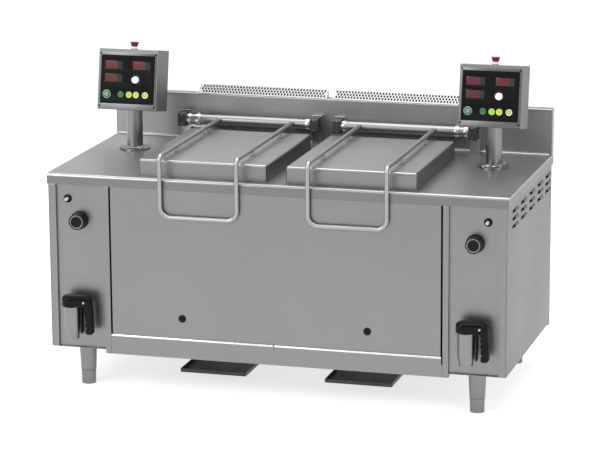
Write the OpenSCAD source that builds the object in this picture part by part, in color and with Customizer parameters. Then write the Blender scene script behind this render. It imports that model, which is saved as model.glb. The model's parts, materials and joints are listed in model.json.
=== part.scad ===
// Double-tank catering pasta cooker: a floor-standing steel cabinet with two lidded cooking
// tanks, a burner under each tank, two drain taps, two control consoles on posts and a rear
// upstand with flue vents. The front edge of the worktop lies on Y = 0 while a piece is being
// drawn, and home() then centres the whole object on the origin. Z = 0 is the floor.

/* [Cabinet] */
// Height of the worktop above the floor
top_h = 932; // [900:2:980]
// Height of the bay floors above the floor
bay_bottom = 174; // [168:1:190]
// Height of the centre floor's underside above the floor
pan_bottom = 157; // [145:1:160]
// Thickness of the cabinet's sheet steel
sheet = 2; // [1.5:0.5:2.5]
// Height of the folded edge round the worktop
apron_h = 46; // [36:1:56]
// Radius of the worktop's front edge
edge_r = 12; // [6:1:16]
// How far the worktop stands out past the side panels
overhang = 6; // [4:1:10]

/* [Cabinet front] */
// Width of each bay's panel between its uprights
bay_w = 212; // [200:2:240]
// How far the wide centre panel reaches past the lids
centre_side = 114; // [104:1:130]
// Width of the dark gap beside the centre panel
gap_w = 8; // [5:1:12]
// Width of the bays' inner uprights
inner_post_w = 25; // [20:1:30]
// Width of the bays' outer uprights
outer_post_w = 30; // [24:1:36]
// Depth of the uprights
post_deep = 36; // [30:1:40]
// How far the bay panels are set back
bay_recess = 12; // [8:1:16]
// Height of the band below the lower rail
plinth_h = 54; // [48:1:60]
// Height of the lower rail
rail_h = 35; // [30:1:42]
// How far the lower rail stands proud
rail_proud = 8; // [6:1:12]
// Radius of the bead along the top of the lower rail
bead_r = 6; // [4:0.5:7]
// Distance of each round plug outside its tank's middle
plug_out = 82; // [60:1:110]
// Height of the round plugs above the floor
plug_z = 332; // [320:1:400]
// Radius of the round plugs
plug_r = 17; // [14:0.5:20]

/* [Upstand and flues] */
// Height of the upstand above the worktop
splash_h = 203; // [180:1:230]
// Depth of the upstand
splash_d = 40; // [38:1:48]
// Radius along the upstand's top edge
splash_r = 7; // [4:1:10]
// Radius of the cove at the upstand's foot
cove_r = 12; // [8:1:16]
// How much wider a flue vent is than a lid
vent_extra = 36; // [10:1:44]
// Height of each flue vent
vent_h = 37; // [30:1:44]
// Gap between the two flue vents
vent_gap = 28; // [16:2:40]
// Spacing of the slots along a vent
slot_pitch = 14; // [12:0.5:18]
// Width of a vent slot
slot_w = 8; // [4:0.5:9]
// Length of a vent slot up the slope
slot_len = 11.5; // [8:0.5:12]

/* [Tanks and baskets] */
// Width of a tank
tank_w = 500; // [470:5:510]
// Depth of a tank from front to back
tank_d = 610; // [580:5:630]
// Depth of a tank below the worktop
tank_deep = 350; // [300:5:380]
// Wall thickness of a tank
tank_wall = 3; // [2:0.5:4]
// Corner radius of a tank
tank_r = 40; // [30:1:50]
// Width of the tank's rim on the worktop
rim_w = 12; // [8:1:16]
// Gap between a basket and its tank
basket_gap = 26; // [20:1:34]
// How far a basket's rim lies below the worktop
basket_drop = 56.7; // [54.7:0.5:80]
// Wall thickness of a basket
basket_wall = 2.5; // [2:0.5:4]
// Width of the strainer slots in a basket
strain_w = 6; // [4:0.5:8]
// Spacing of the strainer slots
strain_pitch = 34; // [28:1:50]

/* [Lids] */
// Gap between the two lids
lid_gap = 84; // [80:1:100]
// How far a lid reaches past its tank at each side
lid_lap_side = 30.5; // [26:0.5:36]
// How far a lid reaches past its tank in front and behind
lid_lap_front = 43.5; // [38:0.5:50]
// Height of a lid
lid_h = 71; // [60:1:80]
// Distance of a lid's front from the worktop's front edge
lid_front = 47; // [40:1:60]
// Distance from a lid's back to the upstand
lid_behind = 146; // [142:1:160]
// Thickness of a lid's sheet
lid_sheet = 1.5; // [1.5:0.5:2.5]
// Height of a lid's inner pan above its lower edge
liner_rise = 14; // [10:1:20]
// Height of the hinge axis above the worktop
hinge_rise = 94; // [90:1:104]
// Distance of the hinge axis in front of the upstand
hinge_setback = 50; // [46:1:54]
// Radius of the hinge tube
tube_r = 24; // [20:1:26]
// How far the hinge tube stops short of the lid's inner edge
tube_in = 30; // [26:1:36]
// How far the hinge tube reaches past the lid's outer edge
tube_out = 41; // [34:1:46]
// Radius of the bar that the handle is bent from
rod_r = 9.5; // [5:0.5:10]
// Distance between the two bars of a handle
rod_gap = 337; // [300:1:360]
// Height of the bars above the hinge axis
rod_rise = 6; // [2:1:8]
// How far the handle hangs in front of the worktop
loop_front = 14; // [12:1:20]
// How far the handle hangs below its bars
loop_drop = 260; // [220:5:300]

/* [Consoles] */
// Distance of each console's post inwards from its bay's middle
post_in = 51.5; // [20:0.5:56]
// Distance of the posts from the worktop's front edge
post_y = 590; // [570:5:610]
// Radius of a post
post_r = 35; // [26:0.5:37]
// Radius of the flange at a post's foot
flange_r = 68; // [56:1:74]
// Width of a console
console_w = 270; // [256:2:290]
// Height of a console's face
console_h = 266; // [258:2:290]
// Depth of a console
console_d = 150; // [140:2:170]
// Angle that a console leans back
console_tilt = 10; // [5:1:15]
// Height of a console's lower front edge above the worktop
console_rise = 190; // [180:2:220]
// Radius of the round dial
dial_r = 15.5; // [13:0.5:18]
// Radius of the round keys
key_r = 14; // [10:0.5:15]
// Travel of a key
key_travel = 2; // [1:0.5:3]
// Radius of the red button's head
stop_r = 19; // [16:0.5:22]
// Travel of the red button
stop_travel = 6; // [4:0.5:8]

/* [Bay controls] */
// Radius of the burner knob
knob_r = 36; // [30:1:40]
// Depth of the burner knob
knob_deep = 44; // [36:1:50]
// Distance of the burner knob below the worktop
knob_drop = 199; // [180:1:230]
// Distance of the ignition button below the worktop
spark_drop = 108; // [95:1:120]
// Distance of the ignition button from the knob, towards the side
spark_out = 52; // [46:1:60]
// Radius of the ignition button
spark_r = 7; // [5:0.5:9]

/* [Drain taps] */
// Radius of the tap's body
valve_r = 36; // [30:1:38]
// Distance of the tap's axis in front of the worktop's edge
tap_stand = 45; // [42:1:55]
// Distance of the tap's axis to the left of the bay's middle
tap_shift = 24; // [16:1:30]
// Height of the tap's mouth above the floor
mouth_z = 228; // [215:1:240]
// Height of the tap's body
valve_h = 141; // [134:1:150]
// Radius of the tap's outlet
outlet_r = 24; // [20:0.5:25]
// Radius of the drain pipe
drain_r = 24; // [20:0.5:26]
// Height of the handle's cap
cap_h = 48; // [44:1:60]
// Distance of the grip's middle from the tap's axis
grip_reach = 78; // [76:1:86]
// Width of the grip
grip_w = 36; // [30:1:38]
// Height of the grip below the cap
grip_drop = 122; // [116:1:128]

/* [Legs and trays] */
// Distance of the legs from the ends of the worktop
leg_side = 142; // [125:1:160]
// Distance of the legs from the front and the back
leg_inset = 75; // [60:1:90]
// Radius of a leg at the top
leg_r = 38; // [34:1:42]
// Radius of an adjustable foot
foot_r = 32; // [28:1:33]
// Height of an adjustable foot
foot_h = 63; // [50:1:75]
// Width of a heat tray
tray_w = 293; // [260:1:320]
// Distance of the trays from the front
tray_front = 160; // [140:5:180]
// Depth of the trays from front to back
tray_d = 460; // [420:5:500]
// Height of the trays' rim above the floor
tray_top = 66; // [58:1:80]
// Height of the trays' sides
tray_h = 16; // [12:1:20]

/* [Hidden] */
$fn = 64;

// Overrun of every cut past the face it opens
over = 1;
// Gap left between curved or moving pieces and their neighbours
air = 0.3;
// Radial clearance of a shaft in its bearing
run = 0.06;
// Left side and right side
LEFT = -1;
RIGHT = 1;

// Lids over the tanks
lid_w = tank_w + 2 * lid_lap_side;
lid_d = tank_d + 2 * lid_lap_front;
tank_x = (lid_gap + lid_w) / 2;

// Places across the front, from the middle outwards
centre_x = tank_x + lid_w / 2 + centre_side;
inner_post_x = centre_x + gap_w;
bay_in = inner_post_x + inner_post_w;
bay_out = bay_in + bay_w;
panel_x = bay_out + outer_post_w + sheet;
body_w = 2 * (panel_x + overhang);
bay_x = (inner_post_x + panel_x) / 2;
plug_x = tank_x + plug_out;
post_x = bay_x - post_in;

// Heights of the front's pieces
knob_z = top_h - knob_drop;
spark_z = top_h - spark_drop;
apron_z = top_h - apron_h;
plinth_top = pan_bottom + plinth_h;
rail_top = plinth_top + rail_h;

// Depths of the back's pieces, and of the whole cabinet
splash_face = lid_front + lid_d + lid_behind;
body_d = splash_face + splash_d;
back_in = body_d - sheet;
// Length of the supply stubs behind the cabinet, and the depth of their bores
stub_len = 19;
socket_deep = 14;
front_y = -(tap_stand + valve_r);
back_y = body_d + stub_len;
mid_y = (front_y + back_y) / 2;

// Tank and burner box places
tank_front = lid_front + lid_lap_front;
tank_back = tank_front + tank_d;
tank_mid_y = (tank_front + tank_back) / 2;
tank_floor = top_h - tank_deep;
// Gap between a tank and its burner box, and the box's wall
box_gap = 5;
box_wall = 3;
// How far the burner box reaches up round the tank
box_lap = 20;
box_floor = pan_bottom + sheet;
box_top = tank_floor + box_lap;
box_w = tank_w + 2 * (box_gap + box_wall);
box_d = tank_d + 2 * (box_gap + box_wall);

// Hinge axis of the lids
axis_y = splash_face - hinge_setback;
axis_z = top_h + hinge_rise;
tube_len = lid_w - tube_in + tube_out;
tube_x = tank_x + (tube_in + tube_out) / 2;
journal_r = 12;
journal_bore = 8;
// Size of the black bearing blocks
block_w = 38;
block_d = 56;
block_h = 62;
block_r = 8;
// Gap between the tube's end and the block
end_play = 0.5;

// Console frame
post_setback = 105;
console_y = post_y - post_setback;
console_z = top_h + console_rise;
console_sheet = 2;
// Face plate and the dark overlay on it
face_w = 262;
face_h = 248;
face_t = 2;
overlay_w = 247;
overlay_h = 212;
overlay_t = 1;
overlay_low = 25;

// Taps
tap_y = -tap_stand;
valve_top = mouth_z + valve_h;
// Height of the drain pipe's axis above the middle of the tap's body
drain_up = 1;
drain_z = mouth_z + valve_h / 2 + drain_up;

module home() {
    translate([0, -mid_y, 0]) children();
}

// A block between two corners
module block(low, high) {
    translate(low) cube([high[0] - low[0], high[1] - low[1], high[2] - low[2]]);
}

// A copy for each side, drawn on the right and mirrored to the left
module both() {
    children();
    mirror([1, 0, 0]) children();
}

// The right-hand drawing, or its mirror image for the left
module on_side(side) {
    if (side == RIGHT) children();
    else mirror([1, 0, 0]) children();
}

// A round bar along X, Y or Z from a point
module bar_x(at, r, l) {
    translate(at) rotate([0, 90, 0]) cylinder(r = r, h = l);
}
module bar_y(at, r, l) {
    translate(at) rotate([-90, 0, 0]) cylinder(r = r, h = l);
}
module bar_z(at, r, l) {
    translate(at) cylinder(r = r, h = l);
}

// A profile drawn in Y and Z, drawn out along X from x
module along_x(x, l) {
    translate([x, 0, 0]) rotate([90, 0, 90]) linear_extrude(l) children();
}
// A profile drawn in X and Z, drawn out along Y from y
module along_y(y, l) {
    translate([0, y + l, 0]) rotate([90, 0, 0]) linear_extrude(l) children();
}

// A rectangle with round corners, centred
module round_rect(w, d, r) {
    square([w - 2 * r, d], center = true);
    square([w, d - 2 * r], center = true);
    for (x = [-1, 1], y = [-1, 1])
        translate([x * (w / 2 - r), y * (d / 2 - r)]) circle(r = r);
}

// A quarter of a bent round bar, turning from the first axis to the second in its own plane
module bend(radius, r) {
    rotate_extrude(angle = 90) translate([radius, 0]) circle(r = r);
}

// A block with its upper front edge rounded
module eased_block(w, d, h, r) {
    translate([0, r, 0]) cube([w, d - r, h]);
    cube([w, d, h - r]);
    bar_x([0, r, h - r], r, w);
}

// Worktop: one folded sheet with the tank mouths, cable holes and flue slots cut in it.
cable_r = 20;
duct_gap = 1;
duct_wall = 2;
duct_front = splash_face + sheet + duct_gap;
duct_back = body_d - 2 * sheet - duct_gap;
duct_less = 30;
duct_w = tank_w - duct_less;
vent_w = lid_w + vent_extra;
vent_x = (vent_gap + vent_w) / 2;
mouth_gap = 1;
module worktop() {
    home() color("silver") difference() {
        translate([-body_w / 2, 0, apron_z]) eased_block(body_w, body_d, apron_h, edge_r);
        translate([sheet - body_w / 2, sheet, apron_z - over])
            eased_block(body_w - 2 * sheet, body_d - 2 * sheet, apron_h + over - sheet,
                        edge_r - sheet);
        both() {
            translate([tank_x, tank_mid_y, top_h - sheet - over])
                linear_extrude(sheet + 2 * over)
                    round_rect(tank_w + 2 * mouth_gap, tank_d + 2 * mouth_gap,
                               tank_r + mouth_gap);
            bar_z([post_x, post_y, top_h - sheet - over], cable_r, sheet + 2 * over);
            block([vent_x - duct_w / 2 - duct_gap, duct_front - duct_gap, top_h - sheet - over],
                  [vent_x + duct_w / 2 + duct_gap, duct_back + duct_gap, top_h + over]);
        }
    }
}

// Upstand: a hollow wall, open on top where the flues come out.
flue_margin = 12;
module splashback() {
    home() color("silver") difference() {
        translate([-body_w / 2, splash_face, top_h])
            eased_block(body_w, splash_d, splash_h, splash_r);
        translate([sheet - body_w / 2, splash_face + sheet, top_h - over])
            eased_block(body_w - 2 * sheet, splash_d - 2 * sheet, splash_h + over - sheet,
                        splash_r - sheet);
        both() block([vent_x - vent_w / 2 + flue_margin, splash_face + splash_r,
                      top_h + splash_h - sheet - over],
                     [vent_x + vent_w / 2 - flue_margin, body_d - splash_r,
                      top_h + splash_h + over]);
    }
}

// Cove: a strip with a round hollow face along the upstand's foot.
cove_inset = 9;
module splash_cove() {
    home() color("silver") along_x(cove_inset - body_w / 2, body_w - 2 * cove_inset)
        translate([splash_face - cove_r, top_h]) difference() {
            square(cove_r);
            translate([0, cove_r]) circle(r = cove_r);
        }
}

// Flue vents: wedge caps with three staggered rows of slots in the sloping face.
vent_sheet = 2;
vent_d = splash_d - vent_sheet;
vent_slope = atan(vent_h / vent_d);
slope_len = sqrt(vent_h * vent_h + vent_d * vent_d);
slot_rows = 3;
row_share = 0.27;
row_pitch = slope_len * row_share;
slot_margin = 10;
slot_count = floor((vent_w - 2 * slot_margin) / slot_pitch);
slope_t = vent_sheet / cos(vent_slope);
module slot_rows_2d() {
    for (row = [0 : slot_rows - 1], i = [0 : slot_count - 1])
        translate([slot_margin + (i + (row % 2) / 2) * slot_pitch,
                   slope_len / 2 + (row - (slot_rows - 1) / 2) * row_pitch - slot_len / 2])
            square([slot_w, slot_len]);
}
module vent_cap() {
    inner_d = vent_d - vent_sheet;
    grade = vent_h / vent_d;
    translate([vent_gap / 2, body_d - vent_d, top_h + splash_h]) difference() {
        along_x(0, vent_w) polygon([[0, 0], [vent_d, 0], [vent_d, vent_h]]);
        along_x(vent_sheet, vent_w - 2 * vent_sheet)
            polygon([[(slope_t - over) / grade, -over], [inner_d, -over],
                     [inner_d, inner_d * grade - slope_t]]);
        rotate([vent_slope, 0, 0]) translate([0, 0, -vent_sheet - over])
            linear_extrude(vent_sheet + 2 * over) slot_rows_2d();
    }
}
module flue_vents() {
    home() color("gainsboro") both() vent_cap();
}

// Flue ducts: flat steel channels from the back of each burner box up to the vents.
duct_drop = 130;
duct_low = tank_floor - duct_drop;
duct_throat = 60;
duct_seat = splash_r / 2;
duct_top = top_h + splash_h - sheet - duct_seat;
burner_back = tank_back + box_gap + box_wall;
module duct_profile(wall) {
    polygon([[burner_back, duct_low + wall], [duct_back - wall, duct_low + wall],
             [duct_back - wall, duct_top + (wall > 0 ? over : 0)],
             [duct_front + wall, duct_top + (wall > 0 ? over : 0)],
             [duct_front + wall, duct_low + duct_throat - wall],
             [burner_back, duct_low + duct_throat - wall]]);
}
module flue_ducts() {
    home() color("darkgray") both() difference() {
        along_x(vent_x - duct_w / 2, duct_w) duct_profile(0);
        along_x(vent_x - duct_w / 2 + duct_wall, duct_w - 2 * duct_wall) duct_profile(duct_wall);
        block([vent_x - duct_w / 2 + duct_wall, burner_back - over, duct_low + duct_wall],
              [vent_x + duct_w / 2 - duct_wall, burner_back + over,
               duct_low + duct_throat - duct_wall]);
    }
}

// Side panels: flat sheets with three rows of air slots, each with a hood over its rear part.
louvre_w = 64;
louvre_open = 44;
louvre_h = 16;
louvre_out = 5.2;
louvre_cols = 5;
louvre_rows = 3;
louvre_row_pitch = 32.5;
louvre_first_y = 176;
louvre_last_margin = 64;
louvre_col_pitch = (body_d - louvre_last_margin - louvre_first_y) / (louvre_cols - 1);
louvre_top = 71;
module side_panel(side) {
    home() on_side(side) color("silver") difference() {
        union() {
            block([panel_x - sheet, 0, bay_bottom],
                  [panel_x, back_in - 2 * sheet, top_h - 2 * sheet]);
            for (row = [0 : louvre_rows - 1], col = [0 : louvre_cols - 1])
                translate([panel_x, louvre_first_y + col * louvre_col_pitch - louvre_w / 2,
                           top_h - louvre_top - row * louvre_row_pitch])
                    louvre_hood();
        }
        for (row = [0 : louvre_rows - 1], col = [0 : louvre_cols - 1])
            translate([panel_x - sheet - over,
                       louvre_first_y + col * louvre_col_pitch - louvre_w / 2 - louvre_open,
                       top_h - louvre_top - row * louvre_row_pitch - louvre_h])
                cube([sheet + 2 * over, louvre_open + louvre_w - sheet, louvre_h - sheet]);
        block([panel_x - sheet - over, -over, apron_z - seam],
              [panel_x + over, edge_r + seam, top_h]);
    }
}
// The pressed hood over a slot's rear part: it slopes out and down from the panel
module louvre_hood() {
    rotate([90, 0, 0]) translate([0, 0, -louvre_w]) linear_extrude(louvre_w)
        polygon([[-sheet / 2, 0], [louvre_out, sheet - louvre_h], [louvre_out, -louvre_h],
                 [louvre_out - sheet / 2, -louvre_h], [-sheet / 2, -sheet]]);
}
module side_panel_left() side_panel(LEFT);
module side_panel_right() side_panel(RIGHT);

// Rear panel: a flat sheet inside the worktop's rear edge, with holes for the supplies.
panel_play = 0.5;
rear_y = body_d - 2 * sheet;
gas_r = 13.2;
gas_drop = 93;
gas_z = knob_z - gas_drop;
water_r = 10.5;
water_out = 127.5;
water_x = tank_x + tank_w / 2 + water_out;
water_drop = 102;
water_z = top_h - water_drop;
gland_out = 67.5;
gland_x = tank_x + tank_w / 2 + gland_out;
gland_z = 420;
gland_r = 12;
module rear_panel() {
    home() color("silver") difference() {
        block([sheet - panel_x, rear_y, pan_bottom + sheet],
              [panel_x - sheet, rear_y + sheet, top_h - sheet]);
        bar_y([0, rear_y - over, gas_z], gas_r + panel_play, sheet + 2 * over);
        both() bar_y([water_x, rear_y - over, water_z], water_r + panel_play, sheet + 2 * over);
        bar_y([gland_x, rear_y - over, gland_z], gland_r + panel_play, sheet + 2 * over);
    }
}

// Centre panel: a shallow folded pan with two plugged holes.
seam = 0.5;
front_fold = 18;
plug_lip = 3;
plug_hole_r = plug_r - plug_lip;
module front_panel() {
    home() color("silver") difference() {
        block([-centre_x, 0, rail_top + seam], [centre_x, front_fold, apron_z - seam]);
        block([sheet - centre_x, sheet, rail_top - over],
              [centre_x - sheet, front_fold + over, apron_z - seam - sheet]);
        both() bar_y([plug_x, -over, plug_z], plug_hole_r, sheet + 2 * over);
    }
}

// Lower rail: two folded strips that meet in the middle, each with a bead along its top.
rail_deep = 14;
rivet_r = 4;
rivet_h = 1.2;
rivet_shares = [0.056, 0.5, 0.854];
rail_overlap = 5;
module lower_rails() {
    low = plinth_top + seam;
    front = -rail_proud;
    home() color("silver") both() {
        difference() {
            union() {
                block([seam, front, low], [centre_x + rail_overlap, rail_deep, rail_top - bead_r]);
                bar_x([seam, front + bead_r, rail_top - bead_r], bead_r,
                      centre_x + rail_overlap - seam);
            }
            block([-over, front + sheet, low + sheet],
                  [centre_x + rail_overlap + over, rail_deep + over,
                   rail_top - bead_r - sheet]);
        }
        for (share = rivet_shares)
            bar_y([share * centre_x, front - rivet_h, low + rail_h / 2 - bead_r / 2], rivet_r,
                  rivet_h + sheet / 2);
    }
}

// Plugs: round caps pushed into the centre panel's holes.
plug_t = 4;
plug_tail = 10;
module front_plugs() {
    home() color("#202020") both() {
        bar_y([plug_x, -plug_t, plug_z], plug_r, plug_t);
        bar_y([plug_x, -over, plug_z], plug_hole_r - run, plug_tail + over);
    }
}

// Bay panels: set back between the uprights, drilled for the knob, igniter and tap.
knob_stem_r = 4;
spark_thread_r = 11;
spark_x = bay_x + spark_out;
tap_hole_r = drain_r + panel_play;
tap_at = [-bay_x - tap_shift, bay_x - tap_shift];
bay_fold = 14;
module bay_panels() {
    home() color("silver") for (i = [0, 1]) difference() {
        side = 2 * i - 1;
        low_x = i == 1 ? bay_in : -bay_out;
        union() {
            block([low_x, bay_recess, bay_bottom + sheet],
                  [low_x + bay_out - bay_in, bay_recess + sheet, apron_z]);
            block([low_x, bay_recess, bay_bottom + sheet],
                  [low_x + bay_out - bay_in, bay_recess + bay_fold, bay_bottom + 2 * sheet]);
        }
        bar_y([side * bay_x, bay_recess - over, knob_z], knob_stem_r + 2 * panel_play,
              sheet + 2 * over);
        bar_y([side * spark_x, bay_recess - over, spark_z], spark_thread_r + panel_play,
              sheet + 2 * over);
        bar_y([tap_at[i], bay_recess - over, drain_z], tap_hole_r, sheet + 2 * over);
    }
}

// Uprights: square tubes at each side of the bays, from the floor up under the worktop.
module front_posts() {
    home() color("silver") both() {
        upright(inner_post_x, bay_in, pan_bottom + sheet);
        upright(bay_out, bay_out + outer_post_w, bay_bottom + sheet);
    }
}
module upright(x1, x2, low) {
    difference() {
        block([x1, 0, low], [x2, post_deep, apron_z]);
        block([x1 + sheet, sheet, low - over],
              [x2 - sheet, post_deep - sheet, apron_z + over]);
    }
}

// Floor pan: one stepped sheet with a folded front edge and air slots under each tank.
pan_x = inner_post_x - seam;
pan_back = rear_y;
air_slot_w = 60;
air_slot_d = 300;
air_slot_gap = 110;
module floor_pan() {
    home() color("gray") difference() {
        union() {
            block([-pan_x - sheet, 0, pan_bottom], [pan_x + sheet, pan_back, pan_bottom + sheet]);
            block([-pan_x, 0, pan_bottom], [pan_x, sheet, plinth_top]);
            both() {
                block([pan_x, post_deep + seam, pan_bottom],
                      [pan_x + sheet, pan_back, bay_bottom + sheet]);
                block([pan_x, post_deep + seam, bay_bottom],
                      [bay_in, pan_back, bay_bottom + sheet]);
                block([bay_in, 0, bay_bottom], [panel_x - sheet, pan_back, bay_bottom + sheet]);
                block([pan_x, 0, pan_bottom], [bay_in, post_deep, pan_bottom + sheet]);
            }
        }
        both() for (i = [-1, 0, 1])
            block([tank_x + i * air_slot_gap - air_slot_w / 2, tank_mid_y - air_slot_d / 2,
                   pan_bottom - over],
                  [tank_x + i * air_slot_gap + air_slot_w / 2, tank_mid_y + air_slot_d / 2,
                   pan_bottom + sheet + over]);
    }
}

// Legs: four tapered tubes under the bays, bored for the threaded stems of the feet.
leg_x = body_w / 2 - leg_side;
leg_ys = [leg_inset, body_d - leg_inset];
stem_r = 8;
stem_gap = 0.1;
stem_h = 80;
leg_taper_share = 0.87;
module legs() {
    home() color("silver") both() for (y = leg_ys) difference() {
        translate([leg_x, y, foot_h])
            cylinder(r1 = leg_r * leg_taper_share, r2 = leg_r, h = bay_bottom - foot_h);
        bar_z([leg_x, y, foot_h - over], stem_r + stem_gap, stem_h + over);
    }
}

// Feet: screwed into the legs to level the cabinet.
foot_seam = 2;
foot_taper_share = 0.95;
module feet() {
    home() color("darkgray") both() for (y = leg_ys) {
        translate([leg_x, y, 0])
            cylinder(r1 = foot_r * foot_taper_share, r2 = foot_r, h = foot_h - foot_seam);
        bar_z([leg_x, y, foot_h - foot_seam - over], stem_r, stem_h - foot_seam);
    }
}

// Heat trays: shallow trays hung low under each burner from hangers at their back half.
tray_sheet = 1.5;
hanger_w = 30;
hanger_shares = [0.565, 0.87];
module heat_trays() {
    low = tray_top - tray_h;
    home() color("dimgray") both() {
        difference() {
            block([tank_x - tray_w / 2, tray_front, low],
                  [tank_x + tray_w / 2, tray_front + tray_d, tray_top]);
            block([tank_x - tray_w / 2 + tray_sheet, tray_front + tray_sheet, low + tray_sheet],
                  [tank_x + tray_w / 2 - tray_sheet, tray_front + tray_d - tray_sheet,
                   tray_top + over]);
        }
        for (side = [0, 1], share = hanger_shares) {
            x = side == 1 ? tank_x + tray_w / 2 - tray_sheet : tank_x - tray_w / 2;
            y = tray_front + share * tray_d;
            block([x, y, low], [x + tray_sheet, y + hanger_w, pan_bottom]);
        }
    }
}

// Tanks: pressed steel wells with a rim that lies on the worktop and a drain hole.
drain_inset = 62;
drain_x = tank_x + tank_w / 2 - drain_inset;
drain_y = tank_front + drain_inset;
rim_t = 2;
module tank(side) {
    home() on_side(side) color("lightgray") translate([tank_x, tank_mid_y, 0]) difference() {
        union() {
            translate([0, 0, tank_floor]) linear_extrude(tank_deep + rim_t)
                round_rect(tank_w, tank_d, tank_r);
            translate([0, 0, top_h]) linear_extrude(rim_t)
                round_rect(tank_w + 2 * rim_w, tank_d + 2 * rim_w, tank_r + rim_w);
        }
        translate([0, 0, tank_floor + tank_wall]) linear_extrude(tank_deep + rim_t + over)
            round_rect(tank_w - 2 * tank_wall, tank_d - 2 * tank_wall, tank_r - tank_wall);
        bar_z([drain_x - tank_x, drain_y - tank_mid_y, tank_floor - over],
              drain_r - tank_wall, tank_wall + 2 * over);
        bar_x([tank_w / 2 - tank_wall - over, spout_y - tank_mid_y, spout_z],
              pipe_r + panel_play, tank_wall + 2 * over);
    }
}
spout_inset = 90;
spout_drop = 50;
spout_y = tank_back - spout_inset;
spout_z = top_h - spout_drop;
module tank_left() tank(LEFT);
module tank_right() tank(RIGHT);

// Burner boxes: steel walls from the floor pan up round the foot of each tank.
throat_x1 = vent_x - duct_w / 2 + duct_wall;
throat_x2 = vent_x + duct_w / 2 - duct_wall;
module burner_boxes() {
    home() color("gainsboro") both() difference() {
        translate([tank_x - box_w / 2, tank_mid_y - box_d / 2, box_floor])
            cube([box_w, box_d, box_top - box_floor]);
        translate([tank_x - box_w / 2 + box_wall, tank_mid_y - box_d / 2 + box_wall,
                   box_floor - over])
            cube([box_w - 2 * box_wall, box_d - 2 * box_wall, box_top - box_floor + 2 * over]);
        block([throat_x1, burner_back - box_wall - over, duct_low + duct_wall],
              [throat_x2, burner_back + over, duct_low + duct_throat - duct_wall]);
        bar_x([tank_x + box_w / 2 - box_wall - over, drain_y, drain_z], drain_r + panel_play,
              box_wall + 2 * over);
        bar_x([tank_x + box_w / 2 - box_wall - over, manifold_y, burner_z],
              feed_r + panel_play, box_wall + 2 * over);
    }
}

// Burners: four ported tubes on a manifold in each box, carried by two cross bars.
burner_drop = 112;
burner_z = tank_floor - burner_drop;
burner_r = 20;
burner_count = 4;
burner_pitch = 90;
burner_inset = 150;
burner_front = tank_front + burner_inset;
burner_len = 400;
feed_r = 8;
manifold_r = 14;
manifold_gap = 30;
manifold_y = burner_front - manifold_gap;
bar_t = 6;
bar_h = 16;
burner_off = 30;
port_w = 4;
module burners() {
    span = tank_w + 2 * box_gap;
    home() color("dimgray") both() {
        difference() {
            union() {
                for (i = [0 : burner_count - 1])
                    bar_y([tank_x - burner_off + (i - (burner_count - 1) / 2) * burner_pitch,
                           manifold_y, burner_z], burner_r, burner_front - manifold_y + burner_len);
                bar_x([tank_x - burner_off - burner_count * burner_pitch / 2, manifold_y,
                       burner_z], manifold_r,
                      tank_w / 2 + box_gap + burner_off + burner_count * burner_pitch / 2);
                for (y = [burner_front + bar_h, burner_front + burner_len - 2 * bar_h])
                    block([tank_x - span / 2, y, burner_z - burner_r - bar_h + bar_t],
                          [tank_x + span / 2, y + bar_h, burner_z - burner_r + bar_t]);
            }
            for (i = [0 : burner_count - 1]) {
                x = tank_x - burner_off + (i - (burner_count - 1) / 2) * burner_pitch;
                bar_y([x, burner_front, burner_z], burner_r - sheet, burner_len - sheet);
                block([x - port_w / 2, burner_front + bar_h, burner_z],
                      [x + port_w / 2, burner_front + burner_len - bar_h,
                       burner_z + burner_r + over]);
            }
        }
    }
}

// Gas valves: a body behind each bay panel that the knob's stem turns in.
valve_w = 56;
valve_body_h = 70;
gas_valve_d = 60;
gas_valve_y = bay_recess + sheet;
stem_deep = 30;
module gas_valves() {
    home() color("darkgoldenrod") both() difference() {
        block([bay_x - valve_w / 2, gas_valve_y, knob_z - valve_body_h / 2],
              [bay_x + valve_w / 2, gas_valve_y + gas_valve_d, knob_z + valve_body_h / 2]);
        bar_y([bay_x, gas_valve_y - over, knob_z], knob_stem_r + run, stem_deep + over);
    }
}

// Gas pipes: the supply from the back to both valves, and a feed from each valve to its burner.
supply_r = 12;
header_gap = 2;
header_y = post_deep + supply_r + header_gap;
feed_y = manifold_y;
module gas_pipes() {
    home() color("goldenrod") {
        difference() {
            union() {
                bar_y([0, header_y, gas_z], supply_r, body_d - header_y);
                bar_y([0, body_d, gas_z], gas_r, stub_len);
                bar_x([-bay_x, header_y, gas_z], supply_r, 2 * bay_x);
                both() {
                    translate([bay_x, header_y, gas_z]) sphere(r = supply_r);
                    bar_z([bay_x, header_y, gas_z], supply_r,
                          knob_z - valve_body_h / 2 - gas_z);
                }
            }
            bar_y([0, back_y - socket_deep, gas_z], supply_r - 2 * sheet, socket_deep + over);
        }
        both() {
            y1 = gas_valve_y + gas_valve_d;
            bar_y([bay_x, y1, knob_z], feed_r, feed_y - y1);
            translate([bay_x, feed_y, knob_z]) sphere(r = feed_r);
            bar_z([bay_x, feed_y, burner_z], feed_r, knob_z - burner_z);
            translate([bay_x, feed_y, burner_z]) sphere(r = feed_r);
            bar_x([tank_x + tank_w / 2 + box_gap, feed_y, burner_z], feed_r,
                  bay_x - tank_x - tank_w / 2 - box_gap);
        }
    }
}

// Igniter bodies: a threaded barrel through each bay panel with a round bezel in front.
bezel_r = 18;
bezel_t = 5;
spark_body_len = 44;
spark_bore = spark_r + air;
spark_travel = 4;
spark_out_len = 20;
spark_in = 12;
module igniter_bodies() {
    home() color("#181818") both() difference() {
        union() {
            bar_y([spark_x, bay_recess - bezel_t, spark_z], bezel_r, bezel_t);
            bar_y([spark_x, bay_recess - over, spark_z], spark_thread_r, spark_body_len + over);
        }
        bar_y([spark_x, bay_recess - bezel_t - over, spark_z], spark_bore,
              spark_in + spark_travel + air + over);
    }
}

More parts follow.
